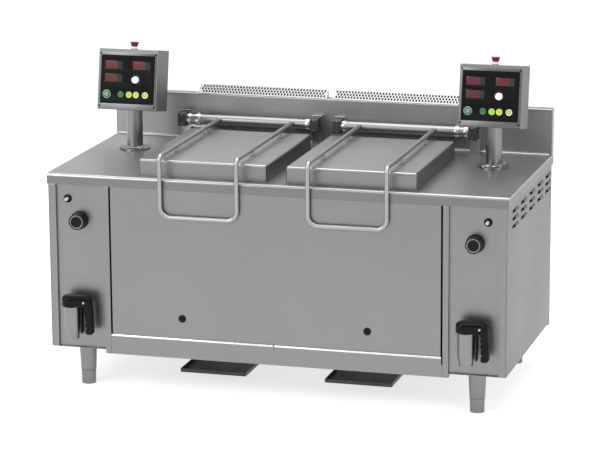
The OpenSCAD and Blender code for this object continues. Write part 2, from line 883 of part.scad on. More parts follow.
// Water inlets: a solenoid valve inside the back for each tank, with its stub and fill pipe.
coil_w = 44;
coil_d = 60;
coil_h = 50;
stub_step = 1;
pipe_r = 8;
spout_in = 10;
spout_x = tank_x + tank_w / 2 - tank_wall - spout_in;
module water_inlets() {
    home() color("silver") both() difference() {
        y0 = rear_y - coil_d;
        union() {
            block([water_x - coil_w / 2, y0, water_z - coil_w / 2],
                  [water_x + coil_w / 2, rear_y, water_z + coil_w / 2]);
            bar_z([water_x, y0 + coil_d / 2, water_z], coil_w / 2 - sheet, coil_h);
            bar_y([water_x, rear_y - over, water_z], water_r - stub_step,
                  body_d - rear_y + over);
            bar_y([water_x, body_d, water_z], water_r, stub_len);
            bar_y([water_x, spout_y, water_z], pipe_r, y0 - spout_y);
            translate([water_x, spout_y, water_z]) sphere(r = pipe_r);
            bar_z([water_x, spout_y, water_z], pipe_r, spout_z - water_z);
            translate([water_x, spout_y, spout_z]) sphere(r = pipe_r);
            bar_x([spout_x, spout_y, spout_z], pipe_r, water_x - spout_x);
        }
        bar_y([water_x, back_y - socket_deep, water_z], pipe_r - sheet / 2, socket_deep + over);
        bar_x([spout_x - over, spout_y, spout_z], pipe_r - sheet, socket_deep + over);
    }
}

// Terminal box: a box on the rear panel's inner face with the supply cable's gland.
box_side = 120;
box_deep = 60;
gland_hex_r = 17;
gland_nut = 8;
gland_bore = 7;
module terminal_box() {
    home() color("gray") difference() {
        union() {
            block([gland_x - box_side / 2, rear_y - box_deep, gland_z - box_side / 2],
                  [gland_x + box_side / 2, rear_y, gland_z + box_side / 2]);
            translate([gland_x, rear_y + sheet, gland_z]) rotate([-90, 0, 0])
                cylinder(r = gland_hex_r, h = gland_nut, $fn = 6);
            bar_y([gland_x, rear_y - over, gland_z], gland_r, stub_len + over);
        }
        block([gland_x - box_side / 2 + sheet, rear_y - box_deep + sheet,
               gland_z - box_side / 2 + sheet],
              [gland_x + box_side / 2 - sheet, rear_y - sheet, gland_z + box_side / 2 - sheet]);
        bar_y([gland_x, rear_y - sheet - over, gland_z], gland_bore,
              sheet + stub_len + 2 * over);
    }
}

// Drain pipes: down from each tank's floor, across under the burner and forward to the tap.
pipe_tail = 6;
pipe_end_y = bay_recess + sheet + pipe_tail;
module drain_pipe(side, tap) {
    x1 = side * drain_x;
    from = min(x1, tap);
    run_len = abs(tap - x1);
    difference() {
        union() {
            bar_z([x1, drain_y, drain_z], drain_r, tank_floor - drain_z);
            translate([x1, drain_y, drain_z]) sphere(r = drain_r);
            bar_x([from, drain_y, drain_z], drain_r, run_len);
            translate([tap, drain_y, drain_z]) sphere(r = drain_r);
            bar_y([tap, pipe_end_y, drain_z], drain_r, drain_y - pipe_end_y);
        }
        bar_z([x1, drain_y, drain_z], drain_r - tank_wall, tank_floor - drain_z + over);
        translate([x1, drain_y, drain_z]) sphere(r = drain_r - tank_wall);
        bar_x([from, drain_y, drain_z], drain_r - tank_wall, run_len);
        translate([tap, drain_y, drain_z]) sphere(r = drain_r - tank_wall);
        bar_y([tap, pipe_end_y - over, drain_z], drain_r - tank_wall,
              drain_y - pipe_end_y + over);
    }
}
module drain_pipes() {
    home() color("silver") {
        drain_pipe(LEFT, tap_at[0]);
        drain_pipe(RIGHT, tap_at[1]);
    }
}

// Tap bodies: an upright casting with a tapered mouth and an inlet from the drain pipe.
taper_h = 48;
mouth_r = 28;
passage_r = 17;
outlet_h = 30;
top_bore_r = 9;
module drain_valves() {
    home() color("silver") for (x = tap_at) translate([x, tap_y, 0]) difference() {
        union() {
            translate([0, 0, mouth_z]) cylinder(r1 = mouth_r, r2 = valve_r, h = taper_h);
            bar_z([0, 0, mouth_z + taper_h], valve_r, valve_h - taper_h - air);
            bar_y([0, 0, drain_z], drain_r - tank_wall / 2, pipe_end_y - tap_y);
        }
        bar_z([0, 0, mouth_z - over], outlet_r, outlet_h + over);
        bar_z([0, 0, mouth_z], passage_r, valve_h - taper_h / 2);
        bar_y([0, 0, drain_z], passage_r, pipe_end_y - tap_y + over);
        bar_z([0, 0, mouth_z], top_bore_r + run, valve_h + over);
    }
}

// Tap handle: a cap that turns on the body, a grip beside it and a ball inside the body.
cap_r = 35;
cap_back = 9;
cap_end_r = 24;
cap_crown = 10;
grip_t = 34;
grip_slope = 2;
groove_r = 11;
groove_pitch = 25;
groove_count = 4;
groove_bite = 5;
pivot_x = 60;
pivot_up = 21;
pin_r = 3;
pin_half = 26;
slot_t = 12;
ball_r = passage_r - 2 * air;
ball_bore = 10;
module cap_shape() {
    hull() {
        bar_z([-cap_back, 0, 0], cap_r, cap_h - cap_crown, $fn = 32);
        bar_z([-cap_back, 0, 0], cap_r - cap_crown, cap_h, $fn = 32);
        bar_z([grip_reach - grip_w / 2, 0, 0], cap_end_r, cap_h - 2 * cap_crown, $fn = 32);
        bar_z([grip_reach - grip_w / 2, 0, 0], cap_end_r - cap_crown, cap_h - cap_crown,
              $fn = 32);
    }
}
module grip_outline() {
    inner = grip_reach - grip_w / 2;
    outer = grip_reach + grip_w / 2;
    difference() {
        union() {
            polygon([[inner, cap_h / 2], [inner, -grip_drop / 2],
                     [inner + grip_slope, -grip_drop], [outer + grip_slope, -grip_drop],
                     [outer + grip_slope, -grip_drop / 2], [outer, cap_h / 2]]);
            translate([inner, 0]) square([outer - inner, cap_h / 2]);
        }
        for (i = [0 : groove_count - 1])
            translate([inner - groove_r + groove_bite + (i + 1) * grip_slope / groove_count,
                       -(i + 1) * groove_pitch - groove_r / 2]) circle(r = groove_r);
    }
}
module drain_handle(x) {
    home() color("#1c1c1c") translate([x, tap_y, valve_top]) {
        difference() {
            union() {
                cap_shape();
                along_y(-grip_t / 2, grip_t) grip_outline();
            }
            block([pivot_x - trigger_eye - air, -slot_t / 2, -over],
                  [pivot_x + trigger_eye + air, slot_t / 2, pivot_up + trigger_eye + air]);
            block([trigger_x - trigger_w, -slot_t / 2, -over],
                  [pivot_x, slot_t / 2, pivot_up]);
        }
        bar_y([pivot_x, -pin_half, pivot_up], pin_r, 2 * pin_half);
        bar_z([0, 0, drain_z - valve_top], top_bore_r, valve_top - drain_z + over);
        difference() {
            translate([0, 0, drain_z - valve_top]) sphere(r = ball_r);
            bar_x([-valve_r, 0, drain_z - valve_top], ball_bore, 2 * valve_r);
        }
    }
}
module drain_handle_left() drain_handle(tap_at[0]);
module drain_handle_right() drain_handle(tap_at[1]);

// Trigger: a slim bar between the tap and the grip that hangs from the pin.
trigger_x = 45;
trigger_w = 7;
trigger_t = 24;
trigger_low = 118;
trigger_eye = 7;
trigger_neck = 8;
trigger_gap = 3;
module drain_trigger(x) {
    home() color("#101010") translate([x, tap_y, valve_top]) difference() {
        union() {
            bar_y([pivot_x, -slot_t / 2 + air, pivot_up], trigger_eye, slot_t - 2 * air);
            along_y(-slot_t / 2 + air, slot_t - 2 * air)
                polygon([[pivot_x - trigger_eye, pivot_up],
                         [pivot_x + trigger_neck / 2, pivot_up],
                         [trigger_x + trigger_w / 2, -trigger_gap - trigger_w],
                         [trigger_x - trigger_w / 2, -trigger_gap - trigger_w]]);
            block([trigger_x - trigger_w / 2, -trigger_t / 2, -trigger_low],
                  [trigger_x + trigger_w / 2, trigger_t / 2, -trigger_gap]);
        }
        bar_y([pivot_x, -slot_t, pivot_up], pin_r + run, 2 * slot_t);
    }
}
module drain_trigger_left() drain_trigger(tap_at[0]);
module drain_trigger_right() drain_trigger(tap_at[1]);

// Burner knobs: a round knob with a raised centre and pointer on a stem.
knob_skirt = 3;
knob_skirt_t = 8;
knob_off = 1;
boss_r = 24;
boss_t = 4;
pointer_w = 7;
pointer_turn = -120;
module gas_knob(side) {
    home() color("#242424") translate([side * bay_x, bay_recess - knob_off, knob_z]) {
        bar_y([0, -knob_skirt_t, 0], knob_r + knob_skirt, knob_skirt_t);
        bar_y([0, -knob_deep, 0], knob_r, knob_deep);
        bar_y([0, -knob_deep - boss_t, 0], boss_r, boss_t + over);
        rotate([0, pointer_turn, 0])
            block([-pointer_w / 2, -knob_deep - boss_t, 0],
                  [pointer_w / 2, -knob_deep + over, knob_r - boss_t]);
        bar_y([0, -over, 0], knob_stem_r, knob_off + sheet + stem_deep - over);
    }
}
module gas_knob_left() gas_knob(LEFT);
module gas_knob_right() gas_knob(RIGHT);

// Ignition buttons: a white plunger in each igniter.
module igniter_button(side) {
    home() color("white")
        bar_y([side * spark_x, bay_recess - bezel_t - spark_out_len, spark_z], spark_r,
              spark_out_len + spark_in);
}
module igniter_button_left() igniter_button(LEFT);
module igniter_button_right() igniter_button(RIGHT);

// Hinge brackets: uprights behind the bearing blocks, with a rail between each pair.
bracket_w = 46;
bracket_up = 36;
block_x = [tube_x - tube_len / 2 - end_play - block_w / 2,
           tube_x + tube_len / 2 + end_play + block_w / 2];
block_back = axis_y + block_d / 2;
hinge_rail_d = 14;
hinge_rail_drop = 27;
hinge_rail_setback = 6;
module hinge_brackets() {
    home() color("gainsboro") both() {
        for (x = block_x) along_x(x - bracket_w / 2, bracket_w)
            polygon([[block_back, top_h],
                     [splash_face - cove_r - air, top_h],
                     [splash_face - cove_r - air, top_h + cove_r + air],
                     [splash_face, top_h + cove_r + air],
                     [splash_face, axis_z + bracket_up],
                     [block_back, axis_z + bracket_up]]);
        block([block_x[0] + bracket_w / 2, block_back - hinge_rail_setback,
               axis_z - hinge_rail_drop - hinge_rail_d],
              [block_x[1] - bracket_w / 2, block_back - hinge_rail_setback + hinge_rail_d,
               axis_z - hinge_rail_drop]);
        for (x = [block_x[0] + bracket_w / 2 - bracket_lug, block_x[1] - bracket_w / 2])
            block([x, block_back - hinge_rail_setback, axis_z - hinge_rail_drop - hinge_rail_d],
                  [x + bracket_lug, block_back, axis_z - hinge_rail_drop]);
    }
}
bracket_lug = 3;

// Bearing blocks: black blocks with rounded tops, bored for the tubes' journals.
module hinge_blocks() {
    home() color("#141414") both() for (x = block_x) difference() {
        along_x(x - block_w / 2, block_w) translate([axis_y, axis_z])
            round_rect(block_d, block_h, block_r);
        bar_x([x - block_w / 2 - over, axis_y, axis_z], journal_r + run, block_w + 2 * over);
    }
}

// Console posts: round tubes with a flange and four bolts at the foot.
post_into = 22;
post_wall = 3;
flange_t = 8;
post_bolts = 4;
post_bolt_r = 5;
post_bolt_h = 4;
bolt_circle_share = 0.75;
module console_posts() {
    home() color("lightgray") both() difference() {
        union() {
            bar_z([post_x, post_y, top_h], post_r, post_top - top_h);
            bar_z([post_x, post_y, top_h], flange_r, flange_t);
            for (i = [0 : post_bolts - 1]) translate([post_x, post_y, top_h + flange_t])
                rotate([0, 0, (i + 1 / 2) * 360 / post_bolts])
                    translate([flange_r * bolt_circle_share, 0, -over])
                        cylinder(r = post_bolt_r, h = post_bolt_h + over);
        }
        bar_z([post_x, post_y, top_h - over], post_r - post_wall, post_top - top_h + 2 * over);
    }
}

// A place on a console: X across from its middle, Y inwards from its face, Z up its face.
module on_console(side) {
    translate([side * post_x, console_y, console_z]) rotate([-console_tilt, 0, 0]) children();
}
post_top = console_z - post_setback * tan(console_tilt) + post_into;

// Console housings: tilted sheet boxes, open behind the face plate.
face_frame = 14;
stop_y = 75;
stop_neck_r = 12;
module console_housings() {
    home() color("gainsboro") for (side = [LEFT, RIGHT]) difference() {
        on_console(side) difference() {
            union() {
                along_x(-console_w / 2, console_w) translate([console_d / 2, console_h / 2])
                    round_rect(console_d, console_h, console_edge);
                bar_z([0, stop_y, console_h - over], stop_neck_r + stop_collar,
                      stop_collar_h + over);
            }
            along_x(console_sheet - console_w / 2, console_w - 2 * console_sheet)
                translate([console_d / 2, console_h / 2])
                    round_rect(console_d - 2 * console_sheet, console_h - 2 * console_sheet,
                               console_edge - console_sheet);
            block([face_frame - face_w / 2, -over, face_low + face_frame],
                  [face_w / 2 - face_frame, console_sheet + over,
                   face_low + face_h - face_frame]);
            bar_z([0, stop_y, console_h - console_sheet - over], stop_neck_r + air,
                  console_sheet + stop_collar_h + 2 * over);
        }
        bar_z([side * post_x, post_y, top_h], post_r + air, post_top - top_h + over);
    }
}
console_edge = 4;
stop_collar = 4;
stop_collar_h = 3;
face_low = 2;

// Console faces: a plate with a dark overlay, display windows, screws and holes for the keys.
overlay_top = face_low + overlay_low + overlay_h;
window_w = 82;
window_h = 36;
window_deep = 0.5;
window_x_shares = [0.235, 0.75, 0.235];
window_z_shares = [0.21, 0.21, 0.475];
key_x_shares = [0.12, 0.385, 0.54, 0.67, 0.84];
key_z_share = 0.81;
dial_x_share = 0.655;
dial_z_share = 0.5;
dial_stem_r = 3;
screw_r = 3;
screw_h = 1.2;
screw_inset = 8;
function across(share) = (share - 1 / 2) * overlay_w;
function down(share) = overlay_top - share * overlay_h;
module console_faces() {
    home() color("#303236") for (side = [LEFT, RIGHT]) on_console(side) {
        difference() {
            union() {
                block([-face_w / 2, -face_t, face_low], [face_w / 2, 0, face_low + face_h]);
                block([-overlay_w / 2, -face_t - overlay_t, overlay_top - overlay_h],
                      [overlay_w / 2, -face_t + overlay_t / 2, overlay_top]);
            }
            for (share = key_x_shares)
                bar_y([across(share), -face_t - overlay_t - over, down(key_z_share)],
                      key_r + air, face_t + overlay_t + 2 * over);
            bar_y([across(dial_x_share), -face_t - overlay_t - over, down(dial_z_share)],
                  dial_stem_r + run, face_t + overlay_t + 2 * over);
            for (i = [0 : len(window_x_shares) - 1])
                translate([across(window_x_shares[i]) - window_w / 2,
                           -face_t - overlay_t - over,
                           down(window_z_shares[i]) - window_h / 2])
                    cube([window_w, window_deep + over, window_h]);
        }
        for (x = [-1, 1], z = [face_low + screw_inset, face_low + face_h - screw_inset / 2])
            bar_y([x * (face_w / 2 - screw_inset), -face_t - screw_h, z], screw_r,
                  screw_h + face_t / 2);
    }
}

// Lid: a shallow box with soft edges, closed by an inner pan above its lower edge.
lid_r = 10;
lid_seat = 0.5;
module soft_box(w, d, h, r) {
    linear_extrude(h - r) round_rect(w, d, r);
    translate([r - w / 2, r - d / 2, 0]) cube([w - 2 * r, d - 2 * r, h]);
    for (s = [-1, 1]) {
        bar_x([r - w / 2, s * (d / 2 - r), h - r], r, w - 2 * r);
        bar_y([s * (w / 2 - r), r - d / 2, h - r], r, d - 2 * r);
        for (t = [-1, 1])
            translate([s * (w / 2 - r), t * (d / 2 - r), h - r]) sphere(r = r);
    }
}
module lid(side) {
    home() on_side(side) color("gainsboro")
        translate([tank_x, lid_front + lid_d / 2, top_h + lid_seat]) {
            difference() {
                soft_box(lid_w, lid_d, lid_h, lid_r);
                translate([0, 0, -over])
                    soft_box(lid_w - 2 * lid_sheet, lid_d - 2 * lid_sheet,
                             lid_h - lid_sheet + over, lid_r - lid_sheet);
            }
            translate([0, 0, liner_rise]) linear_extrude(lid_sheet)
                round_rect(lid_w - lid_sheet, lid_d - lid_sheet, lid_r);
        }
}
module lid_left() lid(LEFT);
module lid_right() lid(RIGHT);

// Lid arm: a hinge tube with journals, and a bar bent into two arms and a hanging handle.
tube_wall = 5;
journal_len = block_w - end_play;
rod_z = axis_z + rod_rise;
arm_bend_r = 22;
loop_bend_r = 44;
loop_low = rod_z - loop_drop;
foot_rod_r = 8;
foot_front_share = 0.25;
foot_back_share = 0.84;
module arm_rod(x) {
    bar_y([x, arm_bend_r - loop_front, rod_z], rod_r,
          axis_y - tube_r + tube_wall + loop_front - arm_bend_r);
    translate([x, arm_bend_r - loop_front, rod_z - arm_bend_r]) rotate([0, -90, 0])
        rotate([0, 0, -90]) mirror([1, 0, 0]) rotate([0, 0, 90]) bend(arm_bend_r, rod_r);
    bar_z([x, -loop_front, loop_low + loop_bend_r], rod_r,
          loop_drop - arm_bend_r - loop_bend_r);
    for (share = [foot_front_share, foot_back_share])
        bar_z([x, lid_front + share * lid_d, top_h + lid_seat + lid_h], foot_rod_r,
              rod_z - top_h - lid_seat - lid_h);
}
module lid_arm(side) {
    x1 = tank_x - rod_gap / 2;
    x2 = tank_x + rod_gap / 2;
    home() on_side(side) color("silver") {
        difference() {
            union() {
                bar_x([tube_x - tube_len / 2, axis_y, axis_z], tube_r, tube_len);
                bar_x([tube_x - tube_len / 2 - journal_len, axis_y, axis_z], journal_r,
                      tube_len + 2 * journal_len);
            }
            bar_x([tube_x - tube_len / 2 + tube_wall, axis_y, axis_z], tube_r - tube_wall,
                  tube_len - 2 * tube_wall);
            bar_x([tube_x - tube_len / 2 - journal_len - over, axis_y, axis_z], journal_bore,
                  tube_len + 2 * journal_len + 2 * over);
        }
        arm_rod(x1);
        arm_rod(x2);
        translate([x1 + loop_bend_r, -loop_front, loop_low + loop_bend_r])
            rotate([90, 0, 0]) rotate([0, 0, 180]) bend(loop_bend_r, rod_r);
        translate([x2 - loop_bend_r, -loop_front, loop_low + loop_bend_r])
            rotate([90, 0, 0]) rotate([0, 0, -90]) bend(loop_bend_r, rod_r);
        bar_x([x1 + loop_bend_r, -loop_front, loop_low], rod_r, rod_gap - 2 * loop_bend_r);
    }
}
module lid_arm_left() lid_arm(LEFT);
module lid_arm_right() lid_arm(RIGHT);

// Basket: a slotted strainer with a rolled rim, four feet and a hoop at each side.
basket_w = tank_w - 2 * tank_wall - 2 * basket_gap;
basket_d = tank_d - 2 * tank_wall - 2 * basket_gap;
basket_r = 14;
basket_feet = 40;
basket_low = tank_floor + tank_wall + air + basket_feet;
basket_h = top_h - basket_low - basket_drop;
basket_foot_r = 8;
basket_foot_inset = 40;
strain_margin = 30;
rim_rod_r = 4;
hoop_rod_r = 3.5;
rim_inset = basket_wall / 2;
hoop_w = 150;
hoop_up = 50;
hoop_bend_r = 20;
module slot_row(length, height) {
    count = floor((length - 2 * strain_margin) / strain_pitch);
    for (i = [0 : count])
        translate([(i - count / 2) * strain_pitch - strain_w / 2, 0]) square([strain_w, height]);
}
module basket(side) {
    home() on_side(side) color("silver") translate([tank_x, tank_mid_y, basket_low]) {
        difference() {
            linear_extrude(basket_h) round_rect(basket_w, basket_d, basket_r);
            translate([0, 0, basket_wall]) linear_extrude(basket_h)
                round_rect(basket_w - 2 * basket_wall, basket_d - 2 * basket_wall,
                           basket_r - basket_wall);
            along_y(-basket_d, 2 * basket_d) translate([0, strain_margin])
                slot_row(basket_w, basket_h - 2 * strain_margin);
            along_x(-basket_w, 2 * basket_w) translate([0, strain_margin])
                slot_row(basket_d, basket_h - 2 * strain_margin);
            translate([0, strain_margin - basket_d / 2, -over])
                linear_extrude(basket_wall + 2 * over)
                    slot_row(basket_w, basket_d - 2 * strain_margin);
        }
        for (s = [-1, 1]) {
            bar_x([basket_r - basket_w / 2, s * (basket_d / 2 - rim_inset), basket_h],
                  rim_rod_r, basket_w - 2 * basket_r);
            bar_y([s * (basket_w / 2 - rim_inset), basket_r - basket_d / 2, basket_h],
                  rim_rod_r, basket_d - 2 * basket_r);
            for (t = [-1, 1]) {
                bar_z([s * (basket_w / 2 - basket_foot_inset),
                       t * (basket_d / 2 - basket_foot_inset), -basket_feet],
                      basket_foot_r, basket_feet + basket_wall / 2);
                translate([s * (basket_w / 2 - basket_r), t * (basket_d / 2 - basket_r), basket_h])
                    rotate([0, 0, s > 0 ? (t > 0 ? 0 : -90) : (t > 0 ? 90 : 180)])
                        bend(basket_r - rim_inset, rim_rod_r);
            }
            translate([s * (basket_w / 2 - rim_inset), 0, basket_h]) hoop();
        }
    }
}
// A hoop handle that stands on the rim
module hoop() {
    for (t = [-1, 1]) {
        bar_z([0, t * hoop_w / 2, -rim_rod_r / 2], hoop_rod_r,
              hoop_up - hoop_bend_r + rim_rod_r / 2);
        translate([0, t * (hoop_w / 2 - hoop_bend_r), hoop_up - hoop_bend_r])
            rotate([0, 0, t * 90]) rotate([90, 0, 0]) bend(hoop_bend_r, hoop_rod_r);
    }
    bar_y([0, hoop_bend_r - hoop_w / 2, hoop_up], hoop_rod_r, hoop_w - 2 * hoop_bend_r);
}
module basket_left() basket(LEFT);
module basket_right() basket(RIGHT);

// Dials: a round pointer knob on a stem through each console face.
dial_t = 14;
dial_stem_in = 10;
dial_mark_w = 3;
dial_mark_t = 1;
module dial(side) {
    home() color("white") on_console(side)
        translate([across(dial_x_share), -face_t - overlay_t - air, down(dial_z_share)]) {
            bar_y([0, -dial_t, 0], dial_r, dial_t);
            bar_y([0, -over, 0], dial_stem_r, face_t + overlay_t + dial_stem_in + over);
            block([-dial_mark_w / 2, -dial_t - dial_mark_t, 0],
                  [dial_mark_w / 2, -dial_t + over, dial_r - dial_mark_w]);
        }
}
module dial_left() dial(LEFT);
module dial_right() dial(RIGHT);

// Stop buttons: a red mushroom head on a neck through each console's top.
stop_clear = 7;
stop_neck_up = stop_travel + stop_clear;
stop_head_h = 22;
stop_low_r = 14;
stop_edge = 4;
stop_flange = 3;
stop_flange_t = 3;
module stop_button(side) {
    home() color("red") on_console(side) translate([0, stop_y, console_h]) {
        bar_z([0, 0, -console_sheet - air - stop_flange_t], stop_neck_r,
              console_sheet + air + stop_flange_t + stop_neck_up + over);
        bar_z([0, 0, -console_sheet - air - stop_flange_t], stop_neck_r + stop_flange,
              stop_flange_t);
        translate([0, 0, stop_neck_up]) {
            cylinder(r1 = stop_low_r, r2 = stop_r, h = stop_head_h - stop_edge);
            translate([0, 0, stop_head_h - stop_edge]) rotate_extrude() {
                square([stop_r - stop_edge, stop_edge]);
                intersection() {
                    translate([stop_r - stop_edge, 0]) circle(r = stop_edge);
                    square([stop_r, stop_edge]);
                }
            }
        }
    }
}
module stop_button_left() stop_button(LEFT);
module stop_button_right() stop_button(RIGHT);

// Keys: round caps through each console face, held by a flange behind the plate.
key_rest = 1.5;
key_out = key_travel + key_rest;
key_flange = 1;
key_flange_t = 1.5;
key_colours = ["green", "green", "yellowgreen", "gold", "khaki"];
module key(side, i) {
    home() color(key_colours[i - 1]) on_console(side)
        translate([across(key_x_shares[i - 1]), 0, down(key_z_share)]) {
            bar_y([0, -face_t - overlay_t - key_out, 0], key_r,
                  key_out + overlay_t + face_t + air + key_flange_t);
            bar_y([0, air, 0], key_r + key_flange, key_flange_t);
        }
}
module key_left_1() key(LEFT, 1);
module key_left_2() key(LEFT, 2);
module key_left_3() key(LEFT, 3);
module key_left_4() key(LEFT, 4);
module key_left_5() key(LEFT, 5);
module key_right_1() key(RIGHT, 1);
module key_right_2() key(RIGHT, 2);
module key_right_3() key(RIGHT, 3);
module key_right_4() key(RIGHT, 4);
module key_right_5() key(RIGHT, 5);

worktop();
splashback();
splash_cove();
flue_vents();
flue_ducts();
side_panel_left();
side_panel_right();
rear_panel();
front_panel();
lower_rails();
front_plugs();
bay_panels();
front_posts();
floor_pan();
legs();
feet();
heat_trays();
tank_left();
tank_right();
burner_boxes();
burners();
gas_pipes();
gas_valves();
igniter_bodies();
water_inlets();
terminal_box();
drain_pipes();
drain_valves();
hinge_brackets();
hinge_blocks();
console_posts();
console_housings();
console_faces();
lid_left();
lid_right();
lid_arm_left();
lid_arm_right();
basket_left();
basket_right();
drain_handle_left();
drain_handle_right();
drain_trigger_left();
drain_trigger_right();
gas_knob_left();
gas_knob_right();
igniter_button_left();
igniter_button_right();
dial_left();
dial_right();
stop_button_left();
stop_button_right();
key_left_1();
key_left_2();
key_left_3();
key_left_4();
key_left_5();
key_right_1();
key_right_2();
key_right_3();
key_right_4();
key_right_5();
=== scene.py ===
import json
import math
import bmesh
import bpy
from mathutils import Matrix, Vector


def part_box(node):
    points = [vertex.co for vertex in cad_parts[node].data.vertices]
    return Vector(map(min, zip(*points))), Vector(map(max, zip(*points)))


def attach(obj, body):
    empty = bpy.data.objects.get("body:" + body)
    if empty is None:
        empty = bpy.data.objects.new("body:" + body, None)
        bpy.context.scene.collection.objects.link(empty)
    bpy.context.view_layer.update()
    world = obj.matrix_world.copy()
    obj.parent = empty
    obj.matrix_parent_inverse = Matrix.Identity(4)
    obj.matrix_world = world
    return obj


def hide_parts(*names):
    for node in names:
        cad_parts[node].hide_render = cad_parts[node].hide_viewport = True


# Looks of a double-tank catering pasta cooker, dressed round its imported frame.
# Meshes, boxes and places are worked out in millimetres; finish_mesh and moved turn them
# into the frame's metres.

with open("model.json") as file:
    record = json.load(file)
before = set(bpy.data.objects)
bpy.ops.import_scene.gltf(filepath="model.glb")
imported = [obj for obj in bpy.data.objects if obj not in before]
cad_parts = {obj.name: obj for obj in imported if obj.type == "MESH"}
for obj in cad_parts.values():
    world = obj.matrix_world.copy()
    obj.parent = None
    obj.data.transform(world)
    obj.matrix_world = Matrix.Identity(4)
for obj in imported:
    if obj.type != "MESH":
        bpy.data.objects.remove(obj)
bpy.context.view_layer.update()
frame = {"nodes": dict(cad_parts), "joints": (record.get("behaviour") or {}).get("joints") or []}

MM = 0.001
SIDES = ("left", "right")
X, Y = Vector((1, 0, 0)), Vector((0, 1, 0))
JOINTS = {joint["name"]: joint for joint in frame["joints"]}


def box(name):
    """The lowest and highest corners of a frame node, in millimetres."""
    return [Vector(corner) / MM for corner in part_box(name)]


def pivot(name):
    """A turning joint's place in millimetres, and its axis."""
    return Vector(JOINTS[name]["pos_m"]) / MM, Vector(JOINTS[name]["axis"])


FRONT = box("worktop")[0].y
BACK = box("worktop")[1].y
TOP = box("worktop")[1].z


# Camera, floor and light

VIEW_AZIMUTH = 15.968
VIEW_ELEVATION = 13.218
VIEW_ROLL = -0.337
VIEW_DISTANCE = 12.3814
VIEW_TARGET = Vector((0, 16 * MM, 500 * MM))
VIEW_SHIFT = (8.24 * MM, 125.3 * MM)
FOCAL_PIXELS = 2860.57
PICTURE_WIDTH = 610
SENSOR = 36


def set_camera():
    """The camera at the photograph's angle."""
    azimuth = math.radians(VIEW_AZIMUTH)
    elevation = math.radians(VIEW_ELEVATION)
    roll = math.radians(VIEW_ROLL)
    back = Vector((math.sin(azimuth) * math.cos(elevation),
        -math.cos(azimuth) * math.cos(elevation), math.sin(elevation)))
    level = Vector((math.cos(azimuth), math.sin(azimuth), 0))
    upright = back.cross(level)
    right = math.cos(roll) * level + math.sin(roll) * upright
    up = math.cos(roll) * upright - math.sin(roll) * level
    data = bpy.data.cameras.new("camera")
    data.sensor_width = SENSOR
    data.sensor_fit = "HORIZONTAL"
    data.lens = FOCAL_PIXELS / PICTURE_WIDTH * SENSOR
    data.clip_end = 200
    camera = bpy.data.objects.new("camera", data)
    bpy.context.scene.collection.objects.link(camera)
    place = Matrix((right, up, back)).transposed().to_4x4()
    place.translation = (VIEW_TARGET + VIEW_DISTANCE * back + VIEW_SHIFT[0] * right
        + VIEW_SHIFT[1] * up)
    camera.matrix_world = place
    bpy.context.scene.camera = camera


def add_light(name, spot, aim, size, power):
    """A soft rectangular lamp that faces a point."""
    data = bpy.data.lights.new(name, "AREA")
    data.shape = "RECTANGLE"
    data.size, data.size_y = size
    data.energy = power
    lamp = bpy.data.objects.new(name, data)
    bpy.context.scene.collection.objects.link(lamp)
    away = (Vector(spot) - Vector(aim)).normalized()
    turn = away.to_track_quat("Z", "Y").to_matrix().to_4x4()
    lamp.matrix_world = Matrix.Translation(spot) @ turn


def set_light():
    """A pale room and three soft lamps."""
    world = bpy.data.worlds.new("room")
    bpy.context.scene.world = world
    world.use_nodes = True
    tree = world.node_tree
    tree.nodes.clear()
    ramp = add_node(tree, "ShaderNodeValToRGB", {0: box_share(tree, "Z")})
    stops = ramp.color_ramp.elements
    stops[0].position, stops[0].color = 0.0, (0.54, 0.54, 0.55, 1)
    stops[1].position, stops[1].color = 1.0, (1.2, 1.2, 1.21, 1)
    middle = stops.new(0.3)
    middle.color = (0.70, 0.70, 0.71, 1)
    light = add_node(tree, "ShaderNodeBackground", {0: ramp.outputs[0]})
    out = add_node(tree, "ShaderNodeOutputWorld")
    tree.links.new(light.outputs[0], out.inputs[0])
    add_light("overhead", (0.2, 0.3, 4.6), (0, 0, 0.9), (5.6, 3.0), 190)
    add_light("key", (-3.6, -4.6, 4.0), (0, 0, 0.6), (3.2, 2.6), 210)
    add_light("fill", (4.8, -3.4, 2.4), (0.4, 0, 0.7), (2.6, 2.6), 60)
    bpy.context.scene.view_settings.view_transform = "Standard"


def set_floor():
    """A plain pale floor."""
    reach = 60
    mesh = bpy.data.meshes.new("floor")
    mesh.from_pydata([(-reach, -reach, 0), (reach, -reach, 0), (reach, reach, 0),
        (-reach, reach, 0)], [], [(0, 1, 2, 3)])
    floor = bpy.data.objects.new("floor", mesh)
    bpy.context.scene.collection.objects.link(floor)
    paint = speckled("floor_paint", (0.40, 0.40, 0.40), 0.85, 0.01, 900)
    tree = paint.node_tree
    set_inputs(tree, tree.nodes["Principled BSDF"], {"Emission Color": (1, 1, 1, 1),
        "Emission Strength": 0.72})
    mesh.materials.append(paint)


# Materials

def set_inputs(tree, node, inputs):
    """The input values and the incoming links of a shader node."""
    for key, value in inputs.items():
        if isinstance(value, bpy.types.NodeSocket):
            tree.links.new(value, node.inputs[key])
        else:
            node.inputs[key].default_value = value


def add_node(tree, kind, inputs=None, **settings):
    """A shader node with its settings and its inputs."""
    made = tree.nodes.new(kind)
    for key, value in settings.items():
        setattr(made, key, value)
    set_inputs(tree, made, inputs or {})
    return made


def start_material(name):
    """A new material with one shader."""
    material = bpy.data.materials.new(name)
    material.use_nodes = True
    tree = material.node_tree
    tree.nodes.clear()
    shader = add_node(tree, "ShaderNodeBsdfPrincipled")
    out = add_node(tree, "ShaderNodeOutputMaterial")
    tree.links.new(shader.outputs[0], out.inputs[0])
    return material, tree, shader


